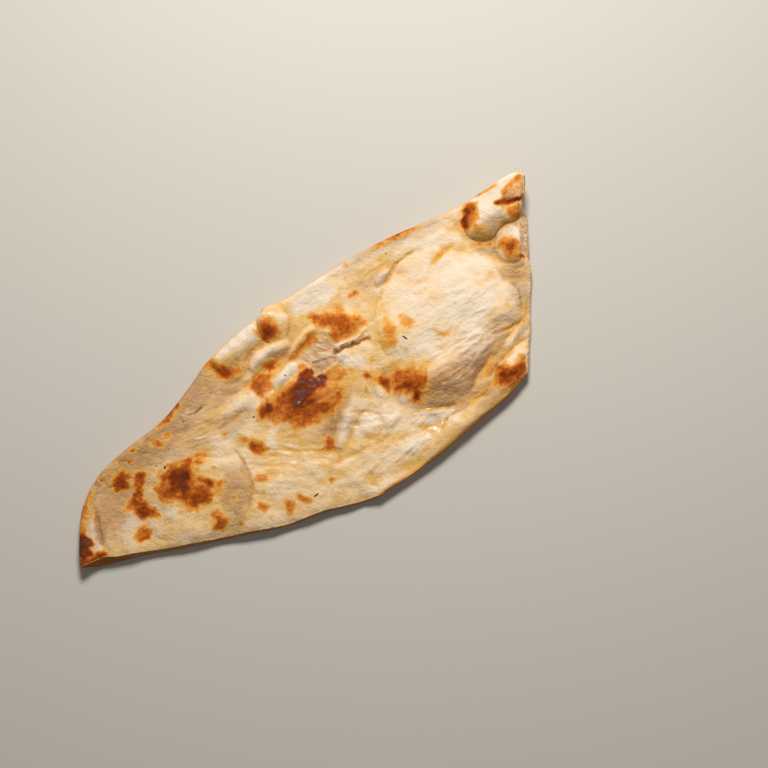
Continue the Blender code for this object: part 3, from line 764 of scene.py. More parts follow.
STREAKS_AND_SHADE_LINES = [
    (0.27, 2.4, [(89.5, 16), (85, 18), (79.5, 17.5), (74.5, 16.5), (70, 14)]),
    (0.13, 1.6, [(-51.5, 5.5), (-54, -2.5), (-57.5, -8.5), (-62, -13.5), (-67.5, -17.5)]),
    (0.22, 1.1, [(42.5, 19.5), (48, 22), (55, 25.5), (62.5, 28), (71.5, 28), (77, 27.5)]),
    (0.31, 1.8, [(55, -7), (55, -10.5), (58, -13), (60.5, -13)]),
    (0.18, 1.3, [(42, -4.5), (46, -6), (50, -6.5)]),
    (0.2, 1.8, [(36.5, 13.5), (33.5, 9), (31, 4.5), (30.5, 1)]), (0.18, 2.1, [(39, -5), (38, -8)]),
    (0.18, 3.2, [(80.5, -19), (85.5, -20.5), (90, -23.5)]),
    (0.14, 1.6, [(60.5, 5.5), (65.5, 6), (69, 5.5)]), (0.27, 2.2, [(25.5, 4.5), (25, 1.5), (22.5, 0)]),
    (0.16, 3.8, [(10.5, 44), (9, 40.5), (6.5, 38.5)]), (0.31, 2.2, [(8.5, 50), (10, 47)]),
    (0.29, 2.1, [(7.5, 0.5), (11.5, -0.5), (15.5, -2)]), (0.27, 3.5, [(10, 5.5), (13, 3.5), (13, -0.5)]),
    (0.27, 1.3, [(14, -5.5), (12.5, -8.5), (12.5, -12.5)]),
    (0.23, 1.8, [(-25, 0), (-25.5, -4), (-26, -8.5)]),
    (0.45, 1.3, [(-23.5, -12.5), (-21.5, -15), (-18.5, -16.5)]), (0.32, 1.3, [(-19, -10), (-16.5, -12)]),
    (0.16, 2.2, [(-28, -20), (-24, -22)]), (0.13, 1.6, [(-34, -18), (-29.5, -20.5)]),
    (0.18, 2.9, [(-1, -23.5), (0, -27), (2.5, -29)]), (0.27, 1.3, [(6.5, -36), (6.5, -37.5)]),
    (0.27, 2.1, [(20.5, -37), (22.5, -40), (24, -43.5)]),
    (0.16, 1.6, [(33, -41.5), (28.5, -43.5), (25, -46)]),
    (0.16, 1.9, [(27, -31.5), (32.5, -36.5), (39.5, -41)]),
    (0.28, 2.2, [(43, -44), (50, -44), (57, -43.5)]),
    (0.16, 2.2, [(64.5, -40), (70, -39), (76, -38.5), (82.5, -39)]),
    (0.18, 2.9, [(73.5, -31.5), (66.5, -33.5), (60, -36)]), (0.32, 2.2, [(32.5, -29.5), (35, -31.5)]),
    (0.16, 2.6, [(43.5, -18.5), (44, -23)]), (0.2, 2.2, [(-17, -38), (-13.5, -40.5), (-12, -44.5)]),
    (0.36, 2.6, [(35.5, 31.5), (39.5, 30), (41.5, 30.5)]), (0.23, 2.6, [(45.5, 45.5), (44.5, 42)]),
    (0.14, 1.9, [(49.5, 35), (48, 31)]), (0.16, 2.9, [(43, 29.5), (43, 22.5), (40, 18.5)]),
    (0.23, 1.9, [(96.5, -24.5), (93, -29), (90, -30.5)]),
    (0.36, 1.3, [(79, -29), (84.5, -30), (91.5, -32)]),
    (0.6, 3.8, [(59, 42.5), (66.5, 41), (72, 39.8), (77, 38), (82, 35.5)]),
    # Painted shadow: this streak and the next brown the corner puff's lower edge and foot, where its shade
    # falls.
    (0.2, 2.4, [(98, 16), (100.5, 11.5), (104.5, 9), (109, 9), (113.5, 10), (117.5, 8.5)]),
    (0.34, 2, [(97, 12), (99, 9), (102, 6.5), (104.5, 5.5)]),
    (0.28, 2.6, [(-112, 40.5), (-105, 43.5), (-97, 45), (-88.5, 45), (-79.5, 44), (-71, 44.5)]),
    (0.44, 2, [(-23, 26.5), (-16.5, 28), (-10.5, 28.5), (-5, 27.5)]),
    (0.16, 2.2, [(15, -21), (21.5, -29), (31, -36), (41.5, -41), (52, -43)]),
    (0.36, 2, [(110, 28), (115.5, 27), (119.5, 25.5), (123.5, 24.5)]),
    (0.18, 1.3, [(28, 49), (34.5, 48)]),
    (0.43, 4.2, [(-130, 24), (-124, 30), (-118.5, 35), (-113, 38.5)]),
    (0.23, 2.6, [(-119.5, 31), (-114.5, 36), (-110, 38)]),
    (0.27, 1.3, [(-105, 43.5), (-99.5, 44.5), (-94, 44)]), (0.23, 1.1, [(-90, 44.5), (-85, 43.5)]),
    (0.44, 1.2, [(-106, 42), (-104.5, 40.5), (-105, 37.5), (-103.5, 35)]),
    (0.36, 1.2, [(-102.5, 40.5), (-100.5, 38.5), (-100, 36.5)]),
    (0.66, 1.5, [(107.5, -7), (109.5, -8), (111.5, -9), (113, -9.5)]),
    # Painted shade: this streak darkens the valley along the pocket's foot.
    (0.22, 2.2, [(51.5, -40), (56.5, -38), (62, -36.5), (66.5, -35.5), (71.5, -35.5)]),
    (0.16, 1.6, [(97.5, -3), (96.5, -6.5), (97, -10), (98.5, -13), (102.5, -15.5)]),
    (0.46, 2.2, [(-79, 25.5), (-73, 22), (-67, 18.5), (-62, 16.5)]),
    (0.42, 1.6, [(-76, 21), (-68.5, 17), (-61.5, 14.5)]),
    (0.2, 1.6, [(-68.5, 13.5), (-64.5, 7.5), (-62.5, 2)]), (0.54, 2.3, [(-72, 12), (-69, 7), (-65.5, 4)]),
    # The second streak on the next line is painted shadow in a small notch under the corner puff.
    (0.28, 1.5, [(-72, 5.5), (-70, 1.5), (-69.5, -3.5)]), (0.6, 0.9, [(101.6, 7.4), (102, 5.6)]),
    (0.41, 1.9, [(-87, 41), (-84, 40)]), (0.34, 1.3, [(-93, 39.5), (-90, 38), (-86.5, 37.5)]),
    (0.36, 1.4, [(-95, 41.5), (-93.5, 39.5)]), (0.31, 2.1, [(-94, 38.5), (-95.5, 35)]),
    (0.23, 1.6, [(-91, 34.5), (-89, 32)]), (0.27, 1.6, [(-80, 42.5), (-78.5, 40.5)]),
    (0.38, 2.4, [(-89.5, 21.5), (-88, 19.5)]), (0.27, 1.9, [(-90, 17.5), (-88, 14)]),
    (0.27, 1.4, [(-64.5, 11), (-61, 7.5)]), (0.31, 1.1, [(-65, 4), (-63, 0)]),
    (0.32, 1.9, [(-71.5, 0.5), (-68.5, -2)]), (0.38, 1.9, [(-64.5, -5.5), (-66.5, -8.5)]),
    (0.23, 1.6, [(-87, -4.5), (-87.5, -5.5)]), (0.29, 1.9, [(-69.5, -15), (-70.5, -18.5)]),
    (0.27, 1.4, [(-65.5, -16), (-66.5, -19)]), (0.27, 1.9, [(-53, -12.5), (-54.5, -15.5)]),
    (0.25, 1.9, [(-59, -24), (-57, -26)]), (0.13, 1.3, [(-47.5, 10), (-49, 8)]),
    (0.38, 1.9, [(-49.5, 20.5), (-50, 18)]), (0.22, 1.3, [(-28.5, -31.5), (-31, -35.5)]),
    (0.18, 1.9, [(-43, 45.5), (-42.5, 40)]), (0.27, 2.2, [(-24, 41), (-24.5, 37)]),
    (0.14, 2.2, [(-37, 47), (-36.5, 41.5)]), (0.27, 1.9, [(-12.5, 26), (-15, 28.5)]),
    (0.2, 1.6, [(-28.5, 27), (-28, 30.5)]), (0.11, 1, [(-121, 17.5), (-122.5, 14)]),
    (0.18, 2.2, [(-16.5, 42.5), (-20.5, 39), (-25, 35.5)]),
    # Partly painted shade: this streak browns the valley between the pocket and the front corner.
    (0.4, 2.6, [(67, -34.8), (63.8, -36.8), (60, -38.8), (56.5, -40)]),
    (0.22, 1.6, [(20, 49.5), (30, 48.6), (40, 47.5), (50, 45.6)]),
    (0.2, 1.8, [(-31, 50), (-29, 45.5), (-24, 42.5), (-17, 41.5), (-9, 42)]),
    (0.16, 1.2, [(-24, 50.5), (-17, 52), (-9, 52)]),
]

# A faint halo lies round each stain that is baked more than HALO_FROM. Edges are ragged and a little
# grown, and where stains overlap their bakes are joined by the root of the sum of their powers.
HALO_BAKE = 0.18
HALO_WIDTH = 8.0
HALO_FROM = 0.4
RAGGED = 0.28
GROWN = 0.4
SOFTENED = 1.35
JOINING = 5
STREAK_REACH = 1.6
DEEPEST_BAKE = 0.9


def bake_of(places):
    """How baked each place of the upper face is."""
    uneven = strayed(places, 0.8, 5, 81)
    ragged = hills(places, 2.8, 83, 3)
    clouds = np.clip(0.6 + hills(places, 6, 84, 2), 0, 1.4)
    most, ash_and_sheen = np.zeros((2, len(places)))
    for name, stains in STAINS.items():
        for level, soft, loop in stains:
            near, depth = depth_in(uneven, loop, HALO_WIDTH)
            edge = (depth + GROWN + RAGGED * soft * ragged[near]) / (SOFTENED * soft)
            bake = level * ease(0.5 + edge)
            # Ash and painted sheen are laid over the browning, not joined with it.
            if name == "ash_and_sheen":
                ash_and_sheen[near] = np.maximum(ash_and_sheen[near], bake)
                continue
            if level > HALO_FROM:
                bake = np.maximum(bake, HALO_BAKE * clouds[near] * ease(0.5 + depth / HALO_WIDTH))
            most[near] += bake**JOINING
    most = most ** (1 / JOINING)
    uneven = strayed(places, 0.4, 3, 85)
    for level, half, line in STREAKS_AND_SHADE_LINES:
        near, off, along = beside(uneven, line, STREAK_REACH * half)
        ends = np.sqrt(np.sin(math.pi * (0.06 + 0.88 * along)))
        bake = level * np.exp(-STREAK_REACH * (off / half) ** 2) * ends
        most[near] = np.maximum(most[near], bake * (1 + 0.4 * ragged[near]))
    mottle = 1 + 0.12 * hills(places, 5, 87, 2) + 0.13 * hills(places, 1.7, 88, 2)
    charred = np.clip(most * mottle, 0, DEEPEST_BAKE)
    return charred + (1 - charred) * ash_and_sheen


# Where the skin is tanned by heat, pale with flour, golden or wet with butter: the middle of each area,
# its half sizes, turn in degrees and share. Many tan areas are also painted shade, on the pocket's flank,
# in valleys, under the corner puff and along the front rim. Some pale areas are painted highlight where
# the dough faces the light.
TAN_AND_SHADE_AREAS = [
    (-109, 25.5, 13, 8, -120, 0.65), (-119, 21.5, 12, 2.2, 68, 0.8), (102.5, 11.5, 6, 3.5, -30, 0.7),
    (100, 7, 6, 3.4, -42, 0.55), (-116, 25, 28, 16, -28, 0.28), (-97, 31, 15, 9, 15, 0.75),
    (72, 40, 30, 4, -14, 0.6), (-32, 35, 13, 4, 10, 0.8), (60, -36, 16, 3, 14, 0.9),
    (-51, 41.5, 19.5, 8, -5, 0.8), (-77, 38, 26, 9, -7, 0.85), (-63, -6, 13, 6, -124, 0.7),
    (-41, 21.5, 11, 4.5, 1, 0.55), (50, 32, 9, 4, -20, 0.35), (-60, 27, 15, 7, -10, 0.4),
    (58, -50, 12, 3.5, -4, 0.9), (48.5, -43.4, 11, 2.6, -6, 0.85), (58.5, -45.4, 5, 2.2, -4, 0.6),
    (61.5, -37.4, 8.5, 2.3, 20, 1), (36, -28, 9, 4.5, -30, 1), (-55.5, -5, 11, 1.8, 65, 0.7),
    (-98, 28, 14, 11, 49, 0.35), (109.5, 10, 8, 5, -30, 0.7), (62, -36.5, 12, 3, 14, 0.6),
    (101.5, -10, 8.5, 4.5, 49, 0.85), (96, -21.5, 16, 3.4, 46, 0.55), (50, -31, 20, 7, -6, 0.74),
    (81, -25, 10, 4, -10, 0.5), (75.5, -30, 6, 2.6, -12, 0.6), (38, -34, 14, 5, -15, 0.8),
    (84.5, -26.5, 7.5, 3.5, -17, 0.5), (-4.5, -5.6, 15, 5.5, 31, 0.9), (7.5, 14, 8, 4, -15, 0.4),
    (99.5, 7.5, 4.5, 3, -27, 0.35), (-6, 31, 7, 3, -2, 0.4),
]
PALE_AND_LIT_AREAS = [
    (75, 1, 31, 21, -40, 1.1), (60, -16, 24, 10, -25, 0.6), (-18, 48.5, 14, 3.4, -6, 0.9),
    (20, 41, 14, 4.6, -6, 1.8), (75, 33, 22, 6, -20, 0.5), (-10, 22, 11, 3.2, 6, 0.9),
    (7, -21.5, 18, 6, -21, 0.5), (-6, -14.5, 6, 2.5, -128, 1), (27, -37, 8, 5, -20, 1),
    (-60.5, 3, 9, 7, -50, 0.35), (83, 25, 20, 4, -41, 0.9), (15.4, -31.6, 12, 4, -35, 0.6),
    (19, -42, 16, 5, -10, 0.5), (-32.7, -1, 6, 8, -30, 0.9), (89.6, 20.2, 10, 5, -40, 0.8),
    (-107.5, 14, 9, 6, -20, 0.6), (61, -30, 10, 3.4, -8, 1.3), (63.5, -40.8, 8, 1.9, 16, 1.1),
    (-123.5, 22, 10, 2.6, 65, 1), (23, 13.8, 9, 1.6, -17, 1), (-36, -22.5, 26, 8, -27, 0.3),
    (-20, -35, 10, 5, -10, 0.35), (-26, 22.5, 14, 4, -12, 0.4), (113.5, 4, 6, 5, 49, 1.5),
    (112, 17, 17, 10, 10, 1.7), (107.5, -0.4, 9.5, 7, 49, 1.7), (68.8, -44.8, 12, 6, 12, 0.6),
    (15.5, 8, 7, 4.5, -60, 0.9), (95, 10, 9, 6, -45, 0.7),
]
GOLD_AREAS = [
    (24, -48, 40, 4.5, -8, 0.7), (36.5, 37.5, 11, 4, -18, 0.6), (-14, 25, 7, 4, 10, 0.7),
    (1, 43.6, 9, 7.6, 48, 0.6), (9, 38, 12, 3.5, -15, 0.6), (-28, -6, 20, 7, -26, 0.35),
    (-45, -12, 10, 4, -30, 0.4), (8, -34, 14, 3.5, -20, 0.5), (-10, -41, 12, 3, -8, 0.5),
    (33, -46, 12, 3, -5, 0.4), (50, 32, 9, 5, -20, 0.9), (86, 17, 8, 3, -15, 0.6),
    (103, 12, 8, 4, -30, 0.6), (56, -6, 10, 7, -30, 0.3), (-2, -27, 11, 4, -25, 0.7),
    (-97, 3, 16, 5, -30, 0.4), (28, -49, 22, 4, -4, 0.9), (44, -44, 14, 3, -2, 0.8),
    (-19, 43.5, 14, 1.8, -2, 0.7), (-29, 48, 4.5, 6, 0, 0.7),
]
BUTTER_AREAS = [
    (-7, -15, 6, 9, 45, 1), (5, -20, 9, 8, 0, 0.45), (27, -37, 10, 7, -20, 1), (-58, 22, 6, 5, 0, 0.3),
    (-30, -14, 26, 14, -10, 0.15), (10, -38, 30, 8, -5, 0.15), (-12, 8, 20, 13, -13, 0.2),
    (-17.5, 9.5, 5, 4, 0, 0.8), (-4, 5, 4, 4, 0, 0.6), (-25, 25, 5, 5, 0, 0.45), (3, 44, 6, 6, 0, 0.8),
]


def spread(places, areas, soft):
    """The most that any of these ellipses gives each place, fading over its edge."""
    most = np.zeros(len(places))
    for x, y, across, deep, turn, share in areas:
        out = np.linalg.norm(in_ellipse(places, (x, y), (across, deep), turn), axis=1)
        most = np.maximum(most, share * ease((1 + soft / 2 - out) / soft))
    return most


# How many cells of the upper face's grid count as a place's surroundings, each way.
HOLLOW_REACH = 5


def hollowness(grid, down, height):
    """How far each place of the upper face lies below its surroundings, in millimetres."""
    top = down == 0
    column, row = np.rint(grid[top] * (COLUMNS, ROWS)).astype(int).T
    sheet = np.zeros((ROWS + 1, COLUMNS + 1))
    sheet[row, column] = height[top]
    level = sheet.copy()
    width = 2 * HOLLOW_REACH + 1
    for axis in (0, 1, 0, 1):
        reach = [(HOLLOW_REACH, HOLLOW_REACH) if axis == side else (0, 0) for side in (0, 1)]
        total = np.cumsum(np.insert(np.pad(level, reach, mode="edge"), 0, 0, axis=axis), axis=axis)
        start = np.arange(level.shape[axis])
        level = (np.take(total, start + width, axis=axis) - np.take(total, start, axis=axis)) / width
    hollow = np.zeros(len(height))
    hollow[top] = (level - sheet)[row, column]
    return hollow


SHARPEST_BEND = 55
naan_mesh = dough_box()
unit = np.empty(len(naan_mesh.vertices) * 3, np.float32)
naan_mesh.vertices.foreach_get("co", unit)
unit = unit.reshape(-1, 3).astype(float)
grid = np.round(unit[:, :2] + 0.5, 6)
down = np.round(-unit[:, 2], 4)
plan = plan_of(grid)
to_tip, to_back, to_front, to_long, to_wide = [nearest_on(side, plan)[0] for side in sides_of(plan, grid)]
to_rim = np.minimum(np.minimum(to_tip, to_back), to_front)
to_cut = np.minimum(to_long, to_wide)
top_spot = browned_face(plan, bake_of(plan), to_rim, to_cut)
foot_spot = underside(plan, to_rim)
spots = top_spot * (1 - down[:, None]) + foot_spot * down[:, None]
at_outline = (grid.min(axis=1) == 0) | (grid.max(axis=1) == 1)
on_wall = at_outline & (down > 0)
cut_wall = on_wall & (to_cut < to_rim)

# The knife leaves the crumb torn: its layers stand back from the cut by about this many millimetres, and
# out of it by no more than this share of that. They are drawn out along the cut.
CRUMB_ROUGHNESS = 0.7
CRUMB_OUT = 0.1
LAYERS_DRAWN_OUT = 3
LAYERS_CLOSENESS = 1.6
for torn, outward, run in (
    (to_long < to_wide, -LONG_INWARD, (0.89, 0.46)),
    (to_wide <= to_long, WIDE_OUTWARD, (-0.65, 0.76)),
):
    torn = np.flatnonzero(cut_wall & torn)
    layered = np.column_stack([plan[torn] @ run / LAYERS_DRAWN_OUT, spots[torn, 2] * LAYERS_CLOSENESS])
    rough = hills(layered, 1.1, 95, 2) * np.sin(math.pi * down[torn]) ** 0.5
    spots[torn, :2] += (CRUMB_ROUGHNESS * np.minimum(rough, CRUMB_OUT))[:, None] * outward

# What the crust's material is told about each place: how browned, tanned and shaded, floured and lit,
# golden or buttered it is, and where it is bare crumb. Shaded and lit here mean painted shade and painted
# highlight. The gap layer is painted shadow in the tear's gap and its deep crumb, and painted shade over
# toasted crust down the long cut's wall.
RIM_TAN = 0.95
RIM_TAN_WIDTH = 9.0
RIM_TAN_UNTIL = -24.0
RIM_TAN_FADE = 18.0
FACET_CRUMB = 0.44
FRAYED_CRUMB = 0.8
LONG_EDGE_CRUMB = 0.9
LONG_EDGE_SHADE_AND_TOAST = 0.95
DEEP_CRUMB_SHADOW = 0.34
RIM_SIDE_BAKE = 0.24
FRONT_SIDE_BAKE_AND_SHADE = 0.34
seen = spots[:, :2]
above = down < 0.5
browning = bake_of(seen) * above
tan_and_shade = spread(strayed(seen, 1.6, 6, 101), TAN_AND_SHADE_AREAS, 0.9)
at_back = RIM_TAN * ease(1 - np.minimum(to_tip, to_back) / RIM_TAN_WIDTH)
tan_and_shade = np.maximum(tan_and_shade, at_back * ease((RIM_TAN_UNTIL - seen[:, 0]) / RIM_TAN_FADE))
# Pale areas are floury skin, and in part painted highlight on rolls and strips that face the key light.
pale_and_lit = spread(strayed(seen, 2.0, 7, 111), PALE_AND_LIT_AREAS, 0.9)
gold = spread(strayed(seen, 2.0, 7, 121), GOLD_AREAS, 0.9)
butter = spread(strayed(seen, 1.2, 5, 105), BUTTER_AREAS, 0.8) * above
torn = strayed(seen, 0.5, 2, 41)
crumb, gap = np.zeros((2, len(seen)))
near, depth = depth_in(torn, TEAR_CRUMB, 3)
crumb[near] = ease(0.4 + depth / (0.6 + torn_edge(seen[near])))
# Painted shadow: the gap layer darkens the tear's gap.
near, share = in_gap(seen)
gap[near] = ease(1.5 * share)
frayed = 0.9 + 0.7 * hills(plan, 3, 99, 2)
for more in (
    gap,
    FACET_CRUMB * share_in(torn, STAINS["facet"][0][2], 1.5),
    FRAYED_CRUMB * ease(0.5 + (frayed - to_wide) / 0.6),
):
    crumb = np.maximum(crumb, more)
# Painted shade in the tear's deep crumb.
gap = np.maximum(gap, DEEP_CRUMB_SHADOW * share_in(torn, DEEP_CRUMB, 1))
# Down the long cut's wall: painted shade over toasted crust, darkest at the top and full at the toasted
# tip.
long_edge = at_outline & (to_long < to_rim) & (to_long < to_wide)
long_edge_shade_and_toast = np.maximum(LONG_EDGE_SHADE_AND_TOAST - 0.35 * down, ease((-104 - seen[:, 0]) / 16))
gap = np.where(long_edge, long_edge_shade_and_toast, gap * above)
crumb = np.where(long_edge, LONG_EDGE_CRUMB, crumb * above)
charred = ease((browning - 0.6) / 0.2)
crumb = np.where(cut_wall, 1, crumb * (1 - charred))
# The rim's side is baked. Along the front rim it is browned further, on the side and in a thin band of the
# top, as painted shade where the rolled rim turns under.
round_rim = np.column_stack([seen.sum(axis=1), spots[:, 2]])
rim_bake_and_shade = RIM_SIDE_BAKE + FRONT_SIDE_BAKE_AND_SHADE * ease(1 - to_front / 12) + 0.12 * hills(round_rim, 5, 97, 2)
rim_bake_and_shade = np.where(on_wall & ~cut_wall, rim_bake_and_shade, FRONT_SIDE_BAKE_AND_SHADE * ease(1 - to_front / 2.4))
browning = np.maximum(browning * (1 - crumb), rim_bake_and_shade)
hollow = hollowness(grid, down, spots[:, 2])
spots[:, 2] = np.maximum(spots[:, 2], BREAD_LOW[2])
naan_mesh.vertices.foreach_set("co", (spots * MM).astype(np.float32).ravel())
for name, values in dict(
    browning=browning,
    tan_and_shade=tan_and_shade,
    pale_and_lit=pale_and_lit,
    gold=gold,
    butter=butter,
    crumb=crumb,
    gap=gap,
    hollow=hollow,
    underside=(down == 1) & ~at_outline,
).items():
    layer = naan_mesh.attributes.new(name, "FLOAT", "POINT")
    layer.data.foreach_set("value", np.asarray(values, np.float32))
naan_mesh.shade_smooth()
naan_mesh.set_sharp_from_angle(angle=math.radians(SHARPEST_BEND))


def placed(name, data):
    """A new object, put in the scene."""
    made = bpy.data.objects.new(name, data)
    bpy.context.scene.collection.objects.link(made)
    return made


naan = placed("naan_bread", naan_mesh)

crust = bpy.data.materials.new("baked naan crust")
crust.use_nodes = True
nodes, links = crust.node_tree.nodes, crust.node_tree.links
shader = nodes["Principled BSDF"]
place = nodes.new("ShaderNodeTexCoord").outputs["Object"]


def layer_of(name):
    """The value of one of the mesh's own layers."""
    node = nodes.new("ShaderNodeAttribute")
    node.attribute_name = name
    return node.outputs["Fac"]


def grain(scale, detail, roughness=0.5, stretch=None):
    """Noise on the bread's own places, from 0 to 1, drawn out along one heading where stretch says so."""
    node = nodes.new("ShaderNodeTexNoise")
    node.inputs["Scale"].default_value = scale
    node.inputs["Detail"].default_value = detail
    node.inputs["Roughness"].default_value = roughness
    if stretch is None:
        links.new(place, node.inputs["Vector"])
        return node.outputs["Fac"]
    heading, length = stretch
    turned = nodes.new("ShaderNodeMapping")
    turned.vector_type = "TEXTURE"
    turned.inputs["Rotation"].default_value = (0, 0, math.radians(heading))
    turned.inputs["Scale"].default_value = (length, 1, 1)
    links.new(place, turned.inputs["Vector"])
    links.new(turned.outputs["Vector"], node.inputs["Vector"])
    return node.outputs["Fac"]


def sum_of(kind, *values):
    """A Math node on sockets or plain numbers."""
    node = nodes.new("ShaderNodeMath")
    node.operation = kind
    for slot, value in enumerate(values):
        if isinstance(value, bpy.types.NodeSocket):
            links.new(value, node.inputs[slot])
        else:
            node.inputs[slot].default_value = value
    return node.outputs[0]


def plus(total, *parts):
    """A value with others added to it, each as the value and its weight."""
    for value, weight in parts:
        total = sum_of("MULTIPLY_ADD", value, weight, total)
    return total


def mixed(share, first, second):
    """A colour between two, by share."""
    node = nodes.new("ShaderNodeMix")
    node.data_type = "RGBA"
    links.new(share, node.inputs[0])
    for slot, value in ((6, first), (7, second)):
        if isinstance(value, bpy.types.NodeSocket):
            links.new(value, node.inputs[slot])
        else:
            node.inputs[slot].default_value = (*value, 1)
    return node.outputs[2]


def ranged(value, low, high):
    """The value's place between low and high, kept from 0 to 1."""
    node = nodes.new("ShaderNodeMapRange")
    node.interpolation_type = "SMOOTHSTEP"
    links.new(value, node.inputs["Value"])
    node.inputs["From Min"].default_value = low
    node.inputs["From Max"].default_value = high
    return node.outputs["Result"]


def stepped(value, steps):
    """A colour for each level of the value."""
    ramp = nodes.new("ShaderNodeValToRGB")
    while len(ramp.color_ramp.elements) < len(steps):
        ramp.color_ramp.elements.new(0.5)
    for element, (level, colour) in zip(ramp.color_ramp.elements, steps):
        element.position = level
        element.color = (*colour, 1)
    links.new(value, ramp.inputs["Fac"])
    return ramp.outputs["Color"]


WHITE = (0.93, 0.80, 0.655)
CREAM = (0.93, 0.71, 0.47)
GOLDEN_CREAM = (0.885, 0.595, 0.28)
GOLD = (0.83, 0.51, 0.165)
TAN_AND_SHADE = (0.55, 0.30, 0.135)
CRUMB = (0.91, 0.70, 0.48)
CRUMB_SHADE = (0.68, 0.395, 0.205)
SHADOW_AND_TOAST = (0.43, 0.165, 0.038)
FRECKLE = (0.50, 0.24, 0.07)
FLOURY = (0.80, 0.66, 0.47)
TOASTED = (0.52, 0.235, 0.06)
BAKE_STEPS = [
    (0.0, (0.88, 0.62, 0.29)),
    (0.12, (0.86, 0.54, 0.17)),
    (0.25, (0.86, 0.445, 0.095)),
    (0.40, (0.75, 0.262, 0.042)),
    (0.54, (0.51, 0.120, 0.010)),
    (0.68, (0.335, 0.062, 0.005)),
    (0.80, (0.21, 0.034, 0.004)),
    (0.91, (0.155, 0.043, 0.020)),
    (1.0, (0.21, 0.105, 0.085)),
# The top step is the grey of ash and of painted sheen on the char.
]
patches = grain(70, 4, 0.55, stretch=(-15, 1.5))
flecks = grain(300, 3, 0.5, stretch=(-30, 1.4))
fine = grain(900, 4, 0.6)
pores = grain(2600, 2, 0.5)
# Painted shade: places lying below their surroundings, from the hollow layer, are made less white, more
# golden and tanner, as if in shade.
shade_in_hollow, on_pale_and_lit, on_gold, on_tan_and_shade = (layer_of(name) for name in ("hollow", "pale_and_lit", "gold", "tan_and_shade"))
uneven = plus(sum_of("MULTIPLY", flecks, 0.38), (patches, 0.62))
# Painted highlight in part: the pale-and-lit layer raises whiteness toward the WHITE colour.
whiteness = plus(uneven, (on_pale_and_lit, 0.20), (shade_in_hollow, -0.10), (on_gold, -0.12))
goldness = sum_of("SUBTRACT", 1.0, uneven)
goldness = plus(goldness, (shade_in_hollow, 0.16), (on_gold, 0.13), (on_pale_and_lit, -0.07), (on_tan_and_shade, -0.09))
pale = mixed(ranged(whiteness, 0.45, 0.60), GOLDEN_CREAM, CREAM)
pale = mixed(ranged(whiteness, 0.57, 0.75), pale, WHITE)
pale = mixed(ranged(goldness, 0.50, 0.68), pale, GOLD)
# Painted shade: the tan layer and the hollows mix in the tan colour, which darkens flanks, valleys and feet
# where shade falls.
tan_and_shade_share = sum_of("MULTIPLY", on_tan_and_shade, ranged(flecks, 0.20, 0.50))
tan_and_shade_share = plus(tan_and_shade_share, (ranged(shade_in_hollow, 0.15, 1.0), 0.55))
pale = mixed(sum_of("MINIMUM", tan_and_shade_share, 1.0), pale, TAN_AND_SHADE)
freckled = sum_of("MULTIPLY", ranged(fine, 0.58, 0.72), ranged(patches, 0.40, 0.62))
pale = mixed(sum_of("MULTIPLY", freckled, 0.35), pale, FRECKLE)
baked = layer_of("browning")
tongues = plus(-0.30, (flecks, 0.34), (fine, 0.26))
bake = plus(baked, (tongues, ranged(baked, 0.0, 0.40)))
colour = mixed(ranged(bake, 0.0, 0.30), pale, stepped(bake, BAKE_STEPS))
crumb_layers = grain(700, 4, 0.65, stretch=(CRUMB_LAYERS_HEADING, 3.0))
crumb_colour = mixed(ranged(crumb_layers, 0.38, 0.60), CRUMB, CRUMB_SHADE)
# Painted shadow and shade: the gap layer takes the crumb to a dark brown, which on the long cut is also
# toasted crust.
colour = mixed(layer_of("crumb"), colour, mixed(layer_of("gap"), crumb_colour, SHADOW_AND_TOAST))
toasted = ranged(plus(grain(110, 4, 0.6), (flecks, 0.4)), 0.72, 0.88)
bottom = mixed(toasted, mixed(ranged(patches, 0.4, 0.65), FLOURY, GOLDEN_CREAM), TOASTED)
links.new(mixed(layer_of("underside"), colour, bottom), shader.inputs["Base Color"])
gloss = sum_of("MULTIPLY", layer_of("butter"), ranged(flecks, 0.35, 0.6))
links.new(gloss, shader.inputs["Coat Weight"])
links.new(plus(0.60, (gloss, -0.15)), shader.inputs["Roughness"])
for name, value in {
    "Coat Roughness": 0.20,
    "Coat IOR": 1.45,
    "Specular IOR Level": 0.09,
    "Subsurface Weight": 0.06,
    "Subsurface Radius": (1.0, 0.5, 0.25),
    "Subsurface Scale": 0.002,
}.items():
    shader.inputs[name].default_value = value
bump = nodes.new("ShaderNodeBump")
bump.inputs["Strength"].default_value = 0.8
bump.inputs["Distance"].default_value = 0.0009
skin = plus(flecks, (fine, 0.7), (pores, 0.3))
creased = plus(0.9, (on_tan_and_shade, 0.7), (layer_of("crumb"), 0.6))
links.new(sum_of("MULTIPLY", skin, creased), bump.inputs["Height"])
links.new(bump.outputs["Normal"], shader.inputs["Normal"])
naan.data.materials.append(crust)
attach(naan, "root")
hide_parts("naan")

